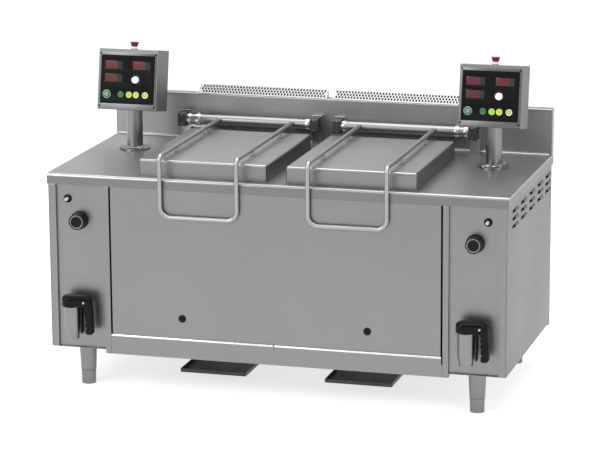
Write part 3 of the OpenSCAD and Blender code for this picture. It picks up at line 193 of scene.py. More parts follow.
def box_share(tree, axis):
    """The share along an axis of the object's box."""
    where = add_node(tree, "ShaderNodeTexCoord")
    split = add_node(tree, "ShaderNodeSeparateXYZ", {0: where.outputs["Generated"]})
    return split.outputs[axis]


def noise(tree, scale, detail, rough):
    """Noise over the object, with its own number of waves a metre along X, Y and Z."""
    where = add_node(tree, "ShaderNodeTexCoord")
    spread = add_node(tree, "ShaderNodeMapping", {0: where.outputs["Object"], 3: scale})
    made = add_node(tree, "ShaderNodeTexNoise", {"Vector": spread.outputs[0], "Scale": 1.0,
        "Detail": detail, "Roughness": rough})
    return made.outputs["Fac"]


def ranged(tree, value, low, high, start=0.3, end=0.7):
    """A noise value spread between two numbers."""
    made = add_node(tree, "ShaderNodeMapRange", {0: value, 1: start, 2: end, 3: low, 4: high})
    return made.outputs[0]


def product(tree, first, second):
    """Two values multiplied."""
    made = add_node(tree, "ShaderNodeMath", {0: first, 1: second}, operation="MULTIPLY")
    return made.outputs[0]


def total(tree, first, second):
    """Two values added."""
    return add_node(tree, "ShaderNodeMath", {0: first, 1: second}, operation="ADD").outputs[0]


def painted_light_by_share(tree, value, axis, place, below, above):
    """Painted light and shade: a shade of its own below a share of the object's box along an
    axis, scaled above it.
    """
    share = box_share(tree, axis)
    spread = (place - 0.01, place + 0.01)
    lit = product(tree, value, ranged(tree, share, 0, above, *spread))
    return total(tree, lit, ranged(tree, share, below, 0, *spread))


def tinted(tree, colour, value):
    """A colour made lighter and darker by a value near one."""
    made = add_node(tree, "ShaderNodeVectorMath", {0: colour, 3: value}, operation="SCALE")
    return made.outputs[0]


def relief(tree, height, depth):
    """The normals of a fine relief, its depth in millimetres."""
    made = add_node(tree, "ShaderNodeBump", {"Distance": depth * MM, "Height": height})
    return made.outputs[0]


def brushed(name, colour, rough, along="x", sweep=None, painted_light_split=None):
    """Brushed sheet steel: long fine scratches one way, and faint wide patches.

    A sweep is a painted sheen: the shade at the left end, the middle and the right end of a wide
    sheet, as reflections fall.
    A split of painted light and shade gives an axis, a place and the shades on both sides of it."""
    material, tree, shader = start_material(name)
    grain, patches = 0.05, 0.04
    fine = [900.0, 900.0, 900.0]
    fine["xyz".index(along)] = 5.0
    scratches = noise(tree, fine, 5.0, 0.7)
    wide = noise(tree, (1.9, 1.9, 1.9), 3.0, 0.5)
    shade = ranged(tree, wide, 1 - patches, 1 + patches)
    # Painted sheen: the sheet is made lighter or darker from left to right, as reflections fall.
    if sweep:
        share = box_share(tree, "X")
        left = ranged(tree, share, sweep[0] - sweep[1], 0, 0, 0.5)
        right = ranged(tree, share, 0, sweep[2] - sweep[1], 0.5, 1)
        shade = product(tree, shade, total(tree, total(tree, left, right), sweep[1]))
    # Painted light and shade: one part of the box is given a shade of its own.
    if painted_light_split:
        shade = painted_light_by_share(tree, shade, *painted_light_split)
    shade = product(tree, shade, ranged(tree, scratches, 1 - grain, 1 + grain))
    worn = total(tree, ranged(tree, scratches, rough - 0.05, rough + 0.05),
        ranged(tree, wide, -0.03, 0.03))
    set_inputs(tree, shader, {"Base Color": tinted(tree, colour, shade), "Roughness": worn,
        "Metallic": 1.0, "Normal": relief(tree, scratches, 0.004)})
    return material


def polished(name, colour, rough, painted_light_split=None):
    """Satin tube and bar steel, with a fine grain and small scuffs."""
    material, tree, shader = start_material(name)
    fine = noise(tree, (620, 620, 620), 3.0, 0.6)
    wide = noise(tree, (9, 9, 9), 3.0, 0.6)
    shade = ranged(tree, wide, 0.95, 1.04)
    # Painted light and shade: one part of the box is given a shade of its own.
    if painted_light_split:
        shade = painted_light_by_share(tree, shade, *painted_light_split)
    worn = total(tree, ranged(tree, fine, rough - 0.04, rough + 0.04),
        ranged(tree, wide, -0.03, 0.03))
    set_inputs(tree, shader, {"Base Color": tinted(tree, colour, shade), "Roughness": worn,
        "Metallic": 1.0, "Normal": relief(tree, fine, 0.002)})
    return material


def speckled(name, colour, rough, vary, scale, depth=0.01, coat=0.0, metal=0.0, gloss=0.5):
    """Moulded plastic, rubber or paint: a fine even texture under a slow change of shade."""
    material, tree, shader = start_material(name)
    fine = noise(tree, (scale, scale, scale), 3.0, 0.6)
    wide = noise(tree, (scale / 40, scale / 40, scale / 40), 2.0, 0.5)
    shade = product(tree, ranged(tree, fine, 1 - vary, 1 + vary),
        ranged(tree, wide, 1 - vary, 1 + vary))
    worn = ranged(tree, fine, max(rough - 0.06, 0.03), rough + 0.06)
    set_inputs(tree, shader, {"Base Color": tinted(tree, colour, shade), "Roughness": worn,
        "Coat Weight": coat, "Metallic": metal, "Specular IOR Level": gloss,
        "Normal": relief(tree, fine, depth)})
    return material


def display_glass(name, colour, pale, share):
    """A dark tinted display filter: its right part, past the share of its width, is pale."""
    material, tree, shader = start_material(name)
    side = ranged(tree, box_share(tree, "X"), 0, 1, share - 0.05, share + 0.05)
    cloud = noise(tree, (130, 130, 130), 2.0, 0.5)
    mixed = add_node(tree, "ShaderNodeMix", {0: side, 6: (*colour, 1), 7: (*pale, 1)},
        data_type="RGBA")
    shade = ranged(tree, cloud, 0.82, 1.12)
    set_inputs(tree, shader, {"Base Color": tinted(tree, mixed.outputs[2], shade),
        "Roughness": ranged(tree, cloud, 0.1, 0.2), "Coat Weight": 0.2})
    return material


# Meshes

def smooth(mesh, angle=35):
    """Smooth shading, with sharp edges past an angle."""
    mesh.shade_smooth()
    mesh.set_sharp_from_angle(angle=math.radians(angle))


def to_mesh(shape, name):
    """A shaded mesh from a bmesh."""
    mesh = bpy.data.meshes.new(name)
    shape.to_mesh(mesh)
    shape.free()
    smooth(mesh)
    return mesh


def finish_mesh(shape, name):
    """A mesh from a bmesh in millimetres, with clean normals and shading."""
    bmesh.ops.remove_doubles(shape, verts=shape.verts, dist=0.002)
    bmesh.ops.scale(shape, vec=(MM, MM, MM), verts=shape.verts)
    bmesh.ops.recalc_face_normals(shape, faces=shape.faces)
    return to_mesh(shape, name)


def lathe(name, profile, steps, ripple=None):
    """A solid turned round Z from points of radius and height; a ripple moves the radius."""
    shape = bmesh.new()
    rings = []
    for radius, height in profile:
        if radius == 0:
            rings.append([shape.verts.new((0, 0, height))])
            continue
        ring = []
        for step in range(steps):
            turn = 2 * math.pi * step / steps
            reach = ripple(radius, height, turn) if ripple else radius
            ring.append(shape.verts.new((reach * math.cos(turn), reach * math.sin(turn), height)))
        rings.append(ring)
    for low, high in zip(rings, rings[1:]):
        for i in range(steps):
            j = (i + 1) % steps
            corners = [low[i % len(low)], low[j % len(low)], high[j % len(high)],
                high[i % len(high)]]
            if len(set(corners)) > 2:
                shape.faces.new(list(dict.fromkeys(corners)))
    return finish_mesh(shape, name)


def rounded(points, steps, closed=False):
    """An outline whose corners (x, y, radius) are rounded with arcs."""
    done = []
    count = len(points)
    for i, point in enumerate(points):
        radius = point[2] if len(point) > 2 else 0
        if radius == 0 or (not closed and i in (0, count - 1)):
            done.append((point[0], point[1]))
            continue
        here = Vector(point[:2])
        before = Vector(points[i - 1][:2]) - here
        after = Vector(points[(i + 1) % count][:2]) - here
        half = before.angle(after) / 2
        reach = min(radius / math.tan(half), before.length * 0.499, after.length * 0.499)
        radius = reach * math.tan(half)
        inward = (before.normalized() + after.normalized()).normalized()
        middle = here + inward * (radius / math.sin(half))
        first = here + before.normalized() * reach - middle
        last = here + after.normalized() * reach - middle
        sweep = first.angle_signed(last)
        for step in range(steps + 1):
            turned = first.copy()
            turned.rotate(Matrix.Rotation(-sweep * step / steps, 2))
            done.append(tuple(middle + turned))
    return done


def spindle(name, points, arcs, steps):
    """A solid turned round Z from points of radius, height and the radius of the corner."""
    return lathe(name, rounded(points, arcs), steps)


def rectangle(width, height, radius):
    """The outline of a centred rectangle with round corners."""
    w, h = width / 2, height / 2
    return rounded([(-w, -h, radius), (w, -h, radius), (w, h, radius), (-w, h, radius)], 4, True)


def circle(radius, at=(0, 0), steps=48):
    """The outline of a circle."""
    turns = [2 * math.pi * i / steps for i in range(steps)]
    return [(at[0] + radius * math.cos(turn), at[1] + radius * math.sin(turn)) for turn in turns]


def shifted(points, x, y):
    """An outline moved."""
    return [(point[0] + x, point[1] + y) for point in points]


def plate(name, outline, thickness, edge, holes=()):
    """A flat plate with eased edges: its outline in X and Y, its back on Z = 0."""
    curve = bpy.data.curves.new(name, "CURVE")
    curve.dimensions = "2D"
    curve.fill_mode = "BOTH"
    curve.extrude = thickness / 2 - edge
    curve.bevel_depth = edge
    curve.bevel_resolution = 1
    curve.offset = -edge
    for ring in (outline, *holes):
        spline = curve.splines.new("POLY")
        spline.points.add(len(ring) - 1)
        for knot, point in zip(spline.points, ring):
            knot.co = (*point, 0, 1)
        spline.use_cyclic_u = True
    holder = bpy.data.objects.new(name, curve)
    bpy.context.scene.collection.objects.link(holder)
    bpy.context.view_layer.update()
    flat = bpy.data.meshes.new_from_object(holder)
    bpy.data.objects.remove(holder)
    shape = bmesh.new()
    shape.from_mesh(flat)
    bmesh.ops.translate(shape, verts=shape.verts, vec=(0, 0, thickness / 2))
    return finish_mesh(shape, name)


def eased_box(name, low, high, edge, segments=2):
    """A box between two corners with eased edges."""
    shape = bmesh.new()
    bmesh.ops.create_cube(shape, size=1)
    for vert in shape.verts:
        vert.co = [low[i] if vert.co[i] < 0 else high[i] for i in range(3)]
    bmesh.ops.bevel(shape, geom=shape.edges, offset=edge, segments=segments, profile=0.5,
        affect="EDGES")
    return finish_mesh(shape, name)


def gathered(name, parts):
    """One mesh from pairs of a mesh and its place."""
    whole = bmesh.new()
    for mesh, place in parts:
        start = len(whole.verts)
        whole.from_mesh(mesh)
        whole.verts.ensure_lookup_table()
        bmesh.ops.transform(whole, matrix=place, verts=whole.verts[start:])
    return to_mesh(whole, name)


def worked(mesh, *steps):
    """A mesh after modifiers, each given as its kind and its settings."""
    holder = bpy.data.objects.new("holder", mesh)
    bpy.context.scene.collection.objects.link(holder)
    for kind, settings in steps:
        modifier = holder.modifiers.new(kind, kind)
        for key, value in settings.items():
            setattr(modifier, key, value)
    bpy.context.view_layer.update()
    graph = bpy.context.evaluated_depsgraph_get()
    result = bpy.data.meshes.new_from_object(holder.evaluated_get(graph))
    bpy.data.objects.remove(holder)
    return result


def moved(x, y, z):
    """A place moved from the origin."""
    return Matrix.Translation(Vector((x, y, z)) * MM)


def turned(degrees, axis="Z"):
    """A place turned about an axis through the origin."""
    return Matrix.Rotation(math.radians(degrees), 4, axis)


def facing(spot, outward):
    """A place whose Z points outward and whose Y points up."""
    return moved(*spot) @ Vector(outward).to_track_quat("Z", "Y").to_matrix().to_4x4()


def add_piece(name, mesh, look, place, body):
    """A piece in its place and finish, riding on a body."""
    piece = bpy.data.objects.new(name, mesh)
    bpy.context.scene.collection.objects.link(piece)
    mesh.materials.clear()
    mesh.materials.append(LOOK[look])
    piece.matrix_world = place
    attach(piece, body)
    return piece


def copies(mesh, spots):
    """Pairs of one mesh and each of several places."""
    return [(mesh, spot) for spot in spots]


def join_parts(name, parts, look, body):
    """A piece made from several meshes in their places."""
    return add_piece(name, gathered(name, parts), look, Matrix.Identity(4), body)


# Finishes

def grey(shade, blue=0.002):
    """A grey, with a little more blue."""
    return shade, shade, shade + blue


LOOK = {
    "sheet": brushed("sheet_steel", grey(0.237), 0.36),
    # The worktop's sweep is a painted reflection, lighter at both ends than in the middle, and
    # its rim below the top is painted darker as shade.
    "top": brushed("worktop_steel", grey(0.29), 0.38, sweep=(1.36, 0.86, 1.08),
                   painted_light_split=("Z", 0.75, 0.66, 1.0)),
    "splash": brushed("upstand_steel", grey(0.285), 0.38),
    # The side panels are a darker copy of the sheet steel: painted shade on the faces turned from
    # the light.
    "side": brushed("side_steel_painted_shade", grey(0.136), 0.36, along="y"),
    # The lid's top is painted lighter and its front and sides darker: painted light and shade.
    "lid": brushed("lid_steel", grey(0.265), 0.38, along="y",
                   painted_light_split=("Z", 0.96, 0.86, 1.25)),
    "console": brushed("console_steel", grey(0.19), 0.5),
    "plate": brushed("face_plate_steel", grey(0.165, 0.003), 0.36),
    "vent": brushed("vent_steel", grey(0.27), 0.36),
    # The hinge tube at the back of the arm is painted darker than its rods: painted shade.
    "arm": polished("arm_steel", grey(0.36), 0.36, painted_light_split=("Y", 0.935, 1.0, 0.62)),
    "rod": polished("rod_steel", grey(0.28), 0.22),
    "post": polished("post_steel", grey(0.25), 0.30),
    "cast": polished("tap_steel", grey(0.23, 0), 0.30),
    "pin": polished("pin_steel", grey(0.42, 0), 0.24),
    "leg": polished("leg_steel", grey(0.21), 0.32),
    "dark": speckled("heat_dark_steel", grey(0.05, 0.003), 0.42, 0.12, 700, metal=0.6),
    "inner": brushed("inner_steel", grey(0.50, 0), 0.30, along="z"),
    # Flat black for painted shade, put where the flue vent slots and the side louvres fall into
    # shade.
    "painted_shade": speckled("painted_shade_black", grey(0.008, 0), 0.8, 0.2, 900, gloss=0.1),
    "brass": speckled("dull_brass", (0.50, 0.37, 0.16), 0.34, 0.06, 700, metal=1.0),
    "black": speckled("black_plastic", grey(0.002, 0), 0.2, 0.15, 1500, 0.005, gloss=0.14),
    "block": speckled("black_block", grey(0.022, 0.001), 0.48, 0.15, 1200),
    "rubber": speckled("black_rubber", grey(0.004, 0), 0.42, 0.15, 1500, gloss=0.14),
    "overlay": speckled("dark_overlay", (0.004, 0.005, 0.005), 0.5, 0.12, 2600, 0.004,
                        gloss=0.08),
    "ring": polished("knob_ring", grey(0.20, 0), 0.34),
    "face_black": speckled("knob_disc", grey(0.004, 0), 0.30, 0.1, 2000, 0.005, gloss=0.15),
    "white": speckled("white_plastic", grey(0.80, -0.01), 0.30, 0.02, 1500, 0.004, 0.3),
    "button": speckled("pale_button", grey(0.42, -0.01), 0.30, 0.03, 1500, 0.004, 0.3),
    "neck": speckled("pale_neck", (0.75, 0.62, 0.58), 0.35, 0.03, 1500, 0.004, 0.3),
    "red": speckled("red_plastic", (0.15, 0.005, 0.010), 0.30, 0.05, 1500, 0.004, 0.5),
    "mark": speckled("pale_print", (0.45, 0.50, 0.46), 0.50, 0.04, 2500, 0.002),
    # A pale green ring: a painted glow round the first key.
    "painted_glow": speckled("painted_glow_ring", (0.22, 0.42, 0.26), 0.50, 0.04, 2500, 0.002),
    "dark_mark": speckled("dark_print", (0.05, 0.06, 0.05), 0.50, 0.05, 2500, 0.002),
    "screw": polished("screw_steel", grey(0.16, 0.005), 0.34),
    # Near-white steel for the rail beads: a real rolled edge with a painted highlight.
    "bead": polished("bead_steel_painted_highlight", grey(0.78, 0), 0.26),
    "bright": polished("bolt_steel", grey(0.45, 0), 0.24),
    "digit": speckled("display_digit", (0.10, 0.009, 0.015), 0.35, 0.05, 2500, 0.002),
    "red_glass": display_glass("red_display", (0.080, 0.008, 0.014), (0.010, 0.020, 0.016), 0.72),
    "brown_glass": display_glass("brown_display", (0.058, 0.014, 0.012), (0.012, 0.020, 0.017),
                                 0.7),
}
KEY_COLOURS = {"key_green_pale": (0.022, 0.11, 0.034), "key_green": (0.016, 0.13, 0.034),
    "key_lime": (0.33, 0.50, 0.05), "key_yellow": (0.47, 0.52, 0.07),
    "key_pale": (0.55, 0.57, 0.23)}
for number, (name, colour) in enumerate(KEY_COLOURS.items(), 1):
    LOOK[f"key_{number}"] = speckled(name, colour, 0.32, 0.06, 1500, 0.004, 0.4)

# The frame nodes that stay, by finish, each with the size of its eased edges in millimetres
NODE_LOOKS = {
    "top": {"worktop": 0},
    "splash": {"splashback": 0, "splash_cove": 0},
    "vent": {"flue_vents": 0},
    "inner": {"flue_ducts": 0, "tank_left": 0, "tank_right": 0, "basket_left": 0,
              "basket_right": 0},
    "side": {"side_panel_left": 0, "side_panel_right": 0},
    "sheet": {"rear_panel": 0, "front_panel": 0.2, "lower_rails": 0.6, "bay_panels": 0,
              "front_posts": 1.2, "floor_pan": 0.6},
    "leg": {"legs": 0, "feet": 1.5},
    "dark": {"heat_trays": 0, "burner_boxes": 0, "burners": 0, "terminal_box": 1},
    "brass": {"gas_pipes": 0, "gas_valves": 1.5},
    # The hinge brackets take the light bolt steel so their rail shows a light line in the shade
    # under the hinge tube: a painted highlight.
    "bright": {"water_inlets": 0, "hinge_brackets": 1},
    "rod": {"drain_pipes": 0},
    "cast": {"drain_valves": 1},
    "block": {"hinge_blocks": 1.2},
    "post": {"console_posts": 0.8},
    "console": {"console_housings": 0},
    "lid": {"lid_left": 0, "lid_right": 0},
    "arm": {"lid_arm_left": 0, "lid_arm_right": 0},
}


def ease_edges(thing, width):
    """Small round edges on a frame node, which leave its own mesh as it is."""
    weld = thing.modifiers.new("weld", "WELD")
    weld.merge_threshold = 0.01 * MM
    bevel = thing.modifiers.new("edges", "BEVEL")
    bevel.width = width
    bevel.segments = 2
    bevel.limit_method = "ANGLE"
    bevel.angle_limit = math.radians(40)
    normals = thing.modifiers.new("normals", "WEIGHTED_NORMAL")
    normals.keep_sharp = True


def dress_nodes():
    """The finish and edges of every frame node that stays in view."""
    for look, nodes in NODE_LOOKS.items():
        for name, edge in nodes.items():
            thing = frame["nodes"][name]
            thing.data.materials.clear()
            thing.data.materials.append(LOOK[look])
            if edge:
                ease_edges(thing, edge * MM)


# Consoles

FACE_SIZE = (262, 248)
FACE_LOW = 2
FACE_DEEP = 2
OVERLAY_SIZE = (247, 212)
OVERLAY_LOW = 27
OVERLAY_DEEP = 1
WINDOW_SIZE = (82, 36)
WINDOW_SHARES = ((0.235, 0.21), (0.75, 0.21), (0.235, 0.475))
KEY_SHARES = (0.12, 0.385, 0.54, 0.67, 0.84)
KEY_DOWN_SHARE = 0.81
DIAL_DOWN_SHARE = 0.5
DIAL_JOINT_OUT = 10
DIAL_HEIGHT = 14
KEY_RADIUS = 14
KEY_OUT = 3.5
FIT = 0.3
CONSOLE_TOP = 266
CONSOLE_BACK = 150
STOP_DEEP = 75
SURFACE = FACE_DEEP + OVERLAY_DEEP


def across(share):
    """A place across the overlay, from its middle."""
    return (share - 0.5) * OVERLAY_SIZE[0]


def down(share):
    """A place down the overlay, as a height on the face."""
    return OVERLAY_LOW + (1 - share) * OVERLAY_SIZE[1]


def console_place(side):
    """The console's face: X across, Y up the face and Z outwards, from its lower middle."""
    dial, inward = pivot(f"dial_{side}_turn")
    outward, up = -inward, -Vector(JOINTS[f"stop_button_{side}_push"]["axis"])
    place = Matrix((X, up, outward)).transposed().to_4x4()
    corner = dial - down(DIAL_DOWN_SHARE) * up - DIAL_JOINT_OUT * outward
    low, high = box(f"key_{side}_1")
    corner.x = (low.x + high.x) / 2 - across(KEY_SHARES[0])
    place.translation = corner * MM
    return place


def at(place, x, y, z=0.0):
    """A place moved along its own axes."""
    return place @ moved(x, y, z)


def button_screw(radius, height):
    """A round screw head with a socket."""
    socket = 0.45 * radius
    return spindle("screw", [(0, height * 0.25), (socket, height * 0.25),
        (socket * 1.1, height, 0.1 * height), (radius * 0.75, height, 0.3 * height),
        (radius, height * 0.3, 0.2 * height), (radius, -0.5), (0, -0.5)], 3, 24)


def seven_segments(count, size, pitch):
    """Unlit figures in a row, each of seven flat bars."""
    width, height = size
    bar = 0.16 * width
    reach = width / 2 - bar * 0.6
    half = height / 2 - bar * 0.6
    spots = [(0, half, 0), (reach, half / 2, 90), (reach, -half / 2, 90), (0, -half, 0),
        (-reach, -half / 2, 90), (-reach, half / 2, 90), (0, 0, 0)]
    flat = plate("figures", [(-reach + bar, -bar / 2), (reach - bar, -bar / 2),
        (reach - bar / 2, 0), (reach - bar, bar / 2), (-reach + bar, bar / 2),
        (-reach + bar / 2, 0)], 0.2, 0.05)
    tall = (half - bar * 0.5) / (2 * reach)
    parts = []
    for i in range(count):
        for x, y, turn in spots:
            stretch = Matrix.Diagonal((2 * tall if turn else 1, 1, 1, 1))
            parts.append((flat, moved(i * pitch + x, y, 0) @ turned(turn) @ stretch))
    return gathered("figures", parts)


def key_holes(radius, middle):
    """The outlines of the holes for the keys, in a sheet with its middle at this height."""
    return [circle(radius, (across(share), down(KEY_DOWN_SHARE) - middle))
        for share in KEY_SHARES]


def dress_console(side):
    """Face plate, overlay, windows, dial, keys and red button of one console."""
    place = console_place(side)
    middle = FACE_LOW + FACE_SIZE[1] / 2
    sheet = plate("face_plate", rectangle(*FACE_SIZE, 3), FACE_DEEP, 0.5,
        key_holes(KEY_RADIUS + 2 * FIT, middle))
    face = add_piece(f"face_plate_{side}", sheet, "plate", at(place, 0, middle), "cabinet")
    if side == "left":
        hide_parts("console_faces")
    middle = OVERLAY_LOW + OVERLAY_SIZE[1] / 2
    holes = key_holes(KEY_RADIUS + FIT, middle)
    for share_x, share_z in WINDOW_SHARES:
        window = rectangle(*WINDOW_SIZE, 1.5)
        holes.append(shifted(window, across(share_x), down(share_z) - middle))
    overlay = plate("overlay", rectangle(*OVERLAY_SIZE, 2), OVERLAY_DEEP, 0.2, holes)
    add_piece(f"overlay_{side}", overlay, "overlay", at(place, 0, middle, FACE_DEEP), "cabinet")
    add_windows(side, place)
    add_face_screws(side, place)
    add_dial(side, place)
    add_keys(side, place)
    add_stop_button(side, place)
    add_back_cover(side, place)


def add_windows(side, place):
    """The three display windows, with faint unlit figures."""
    width, height = WINDOW_SIZE
    for i, (share_x, share_z) in enumerate(WINDOW_SHARES):
        spot = at(place, across(share_x), down(share_z), FACE_DEEP)
        look = "brown_glass" if i == 2 else "red_glass"
        glass = plate("window", rectangle(width - FIT, height - FIT, 1.4), 0.5, 0.1)
        add_piece(f"window_{side}_{i + 1}", glass, look, spot, "cabinet")
        rim = plate("window_rim", rectangle(width + 3, height + 3, 2.5), 0.25, 0.08,
            [rectangle(width - 1, height - 1, 1.2)])
        add_piece(f"window_rim_{side}_{i + 1}", rim, "black", at(spot, 0, 0, OVERLAY_DEEP),
            "cabinet")
        figures = seven_segments(3, (13, 24), 18)
        add_piece(f"figures_{side}_{i + 1}", figures, "digit", at(spot, -0.30 * width, 0, 0.45),
            "cabinet")


def add_face_screws(side, place):
    """The dark screws in the corners of the face plate."""
    inset = 5
    screw = button_screw(4.2, 1.6)
    spots = [at(place, x * (FACE_SIZE[0] / 2 - inset), y, FACE_DEEP) for x in (-1, 1)
        for y in (FACE_LOW + 14, FACE_LOW + FACE_SIZE[1] - inset)]
    join_parts(f"face_screws_{side}", copies(screw, spots), "rubber", "cabinet")


def add_dial(side, place):
    """The round white dial, with fine ribs, a pointer line and a ring of ticks."""
    low, high = box(f"dial_{side}")
    r, h = (high.x - low.x) / 2, DIAL_HEIGHT
    beside = (low.x + high.x) / 2 - place.translation.x / MM
    spot = at(place, beside, down(DIAL_DOWN_SHARE), SURFACE + FIT)

    def ribs(radius, height, turn):
        if radius < r * 0.9 or height > h * 0.86 or height < h * 0.2:
            return radius
        return radius - 0.35 * (1 + math.cos(36 * turn))

    profile = rounded([(0, 0), (r, 0, 0.5), (r, h * 0.18, 0.4), (r * 0.965, h * 0.22),
        (r * 0.94, h * 0.5), (r * 0.93, h * 0.84), (r * 0.93, h, 1.2), (r * 0.72, h, 0.5),
        (r * 0.66, h * 0.93, 0.5), (0, h * 0.93)], 3)
    dial = add_piece(f"dial_cap_{side}", lathe("dial_cap", profile, 144, ribs), "white", spot,
        f"dial_{side}")
    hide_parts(f"dial_{side}")
    line = eased_box("line", (-0.9, 0.1 * r, h * 0.9), (0.9, 0.9 * r, h + 0.6), 0.25)
    add_piece(f"dial_line_{side}", line, "button", spot, f"dial_{side}")
    surround = plate("surround", circle(r + 5), 0.25, 0.08, [circle(4, steps=24)])
    add_piece(f"dial_surround_{side}", surround, "rubber", at(spot, 0, 0, -FIT - 0.1), "cabinet")
    tick = eased_box("tick", (-0.35, r + 6, -0.05), (0.35, r + 8.2, 0.12), 0.04, 1)
    ticks = [(tick, turned(-135 + 27 * i)) for i in range(11)]
    add_piece(f"dial_ticks_{side}", gathered("ticks", ticks), "mark", at(spot, 0, 0, -FIT),
        "cabinet")


def add_keys(side, place):
    """Five round keys with a raised rim and a simple mark each."""
    r = KEY_RADIUS
    top = SURFACE + KEY_OUT
    profile = rounded([(0, -1.8), (r + 1, -1.8), (r + 1, -FIT), (r, -FIT), (r, top, 1.2),
        (r * 0.8, top, 0.4), (r * 0.74, top - 0.7, 0.4), (r * 0.4, top - 0.5), (0, top - 0.3)], 3)
    ring = plate("key_ring", circle(r * 0.52), 0.4, 0.1, [circle(r * 0.34)])
    bar = eased_box("bar", (-0.6, -0.42 * r, 0), (0.6, 0.42 * r, 0.4), 0.12)
    wedge = plate("wedge", [(-0.36 * r, -0.36 * r), (0.42 * r, 0), (-0.36 * r, 0.36 * r)], 0.4,
        0.1)
    side_bars = [(bar, moved(x * r, 0, 0)) for x in (-0.16, 0.16)]
    marks = (ring, wedge, bar, gathered("bars", side_bars), ring)
    for i, share in enumerate(KEY_SHARES, 1):
        body = f"key_{side}_{i}"
        spot = at(place, across(share), down(KEY_DOWN_SHARE))
        key = add_piece(f"keycap_{side}_{i}", lathe("keycap", profile, 56), f"key_{i}", spot,
            body)
        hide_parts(body)
        look = "mark" if i == 1 else "dark_mark"
        add_piece(f"keymark_{side}_{i}", marks[i - 1].copy(), look, at(spot, 0, 0, top - 0.65),
            body)
    # A pale green ring round the first key: a painted glow standing in for the light of its lamp.
    painted_glow = plate("painted_glow", circle(r + 4), 0.2, 0.06, [circle(r + 1.2)])
    first = at(place, across(KEY_SHARES[0]), down(KEY_DOWN_SHARE), SURFACE - 0.02)
    add_piece(f"key_halo_{side}", painted_glow, "painted_glow", first, "cabinet")


def add_stop_button(side, place):
    """The red button on the console's top: a tapered head on a pale neck."""
    body = f"stop_button_{side}"
    up = turned(-90, "X")
    spot = at(place, 0, CONSOLE_TOP, -STOP_DEEP) @ up
    neck = spindle("stop_neck", [(0, -5.3), (15, -5.3), (15, -2.4), (12, -2.3), (12, 9.5, 0.6),
        (11, 10.5), (11, 13.5), (0, 13.5)], 3, 56)
    head = spindle("stop_head", [(0, 13), (13.6, 13, 0.8), (15.5, 20, 3), (19, 29.6, 1.6),
        (18.8, 32.5, 1.6), (15.5, 34.2, 2), (9, 33.5), (0, 33.1)], 4, 72)
    piece = add_piece(f"stop_head_{side}", head, "red", spot, body)
    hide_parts(body)
    add_piece(f"stop_neck_{side}", neck, "neck", spot, body)


def add_back_cover(side, place):
    """A screwed cover on the console's back."""
    size = (226, 222)
    spot = at(place, 0, CONSOLE_TOP / 2, -CONSOLE_BACK) @ turned(180, "Y")
    slots = [shifted(rectangle(60, 5, 2.4), x * 45, 60 + y * 12) for x in (-1, 1)
        for y in range(-2, 3)]
    add_piece(f"back_cover_{side}", plate("back_cover", rectangle(*size, 6), 1.5, 0.4, slots),
        "console", spot, "cabinet")
    screw = button_screw(3.6, 1.8)
    spots = [at(spot, x * (size[0] / 2 - 9), y * (size[1] / 2 - 9), 1.5) for x in (-1, 1)
        for y in (-1, 1)]
    join_parts(f"back_screws_{side}", copies(screw, spots), "bright", "cabinet")


# Bays

PANEL_IN = 12
KNOB_BASE = -11
KNOB_RADIUS = 36
KNOB_OUT = 33
BOSS_OUT = 37
POINTER_TURN = 120


def add_knob(side):
    """The burner knob: a ribbed black body, a light ring, a dark disc and a pointer."""
    spot, inward = pivot(f"gas_knob_{side}_turn")
    body = f"gas_knob_{side}"
    place = facing(spot, -inward)
    r = KNOB_RADIUS

    def ribs(radius, height, turn):
        if radius < r * 0.9 or height < -1 or height > KNOB_OUT - 5:
            return radius
        return radius - 0.55 * (1 - math.cos(40 * turn))

    profile = rounded([(0, KNOB_BASE), (r + 3, KNOB_BASE, 0.6), (r + 3, -5, 2), (r, -3, 1),
        (r, 0), (r - 0.8, KNOB_OUT / 2), (r - 1.4, KNOB_OUT - 5.2), (r - 1.5, KNOB_OUT, 1.6),
        (r - 4, KNOB_OUT, 0.5), (r - 4.6, KNOB_OUT - 0.8), (0, KNOB_OUT - 0.8)], 4)
    knob = add_piece(f"knob_body_{side}", lathe("knob_body", profile, 160, ribs), "black", place,
        body)
    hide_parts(body)
    ring = spindle("knob_ring", [(21, KNOB_OUT - 1), (21, KNOB_OUT - 0.1),
        (23, KNOB_OUT + 0.1, 0.3), (29.4, KNOB_OUT + 0.1, 0.3), (29.8, KNOB_OUT - 1)], 3, 96)
    add_piece(f"knob_ring_{side}", ring, "ring", place, body)
    disc = spindle("knob_disc", [(24.2, KNOB_OUT - 1), (23.6, BOSS_OUT - 0.2, 1.2),
        (21, BOSS_OUT - 0.2, 0.5), (20.3, BOSS_OUT - 1, 0.5), (0, BOSS_OUT - 0.6)], 4, 96)
    add_piece(f"knob_disc_{side}", disc, "face_black", place, body)
    turn = turned(POINTER_TURN)
    pointer = eased_box("pointer", (-4.5, 18, KNOB_OUT - 0.5), (4.5, r - 3, BOSS_OUT), 1.2, 3)
    add_piece(f"knob_pointer_{side}", pointer, "black", place @ turn, body)
    line = eased_box("line", (-0.7, 22, BOSS_OUT - 0.2), (0.7, r - 4, BOSS_OUT + 0.15), 0.1)
    add_piece(f"knob_line_{side}", line, "mark", place @ turn, body)


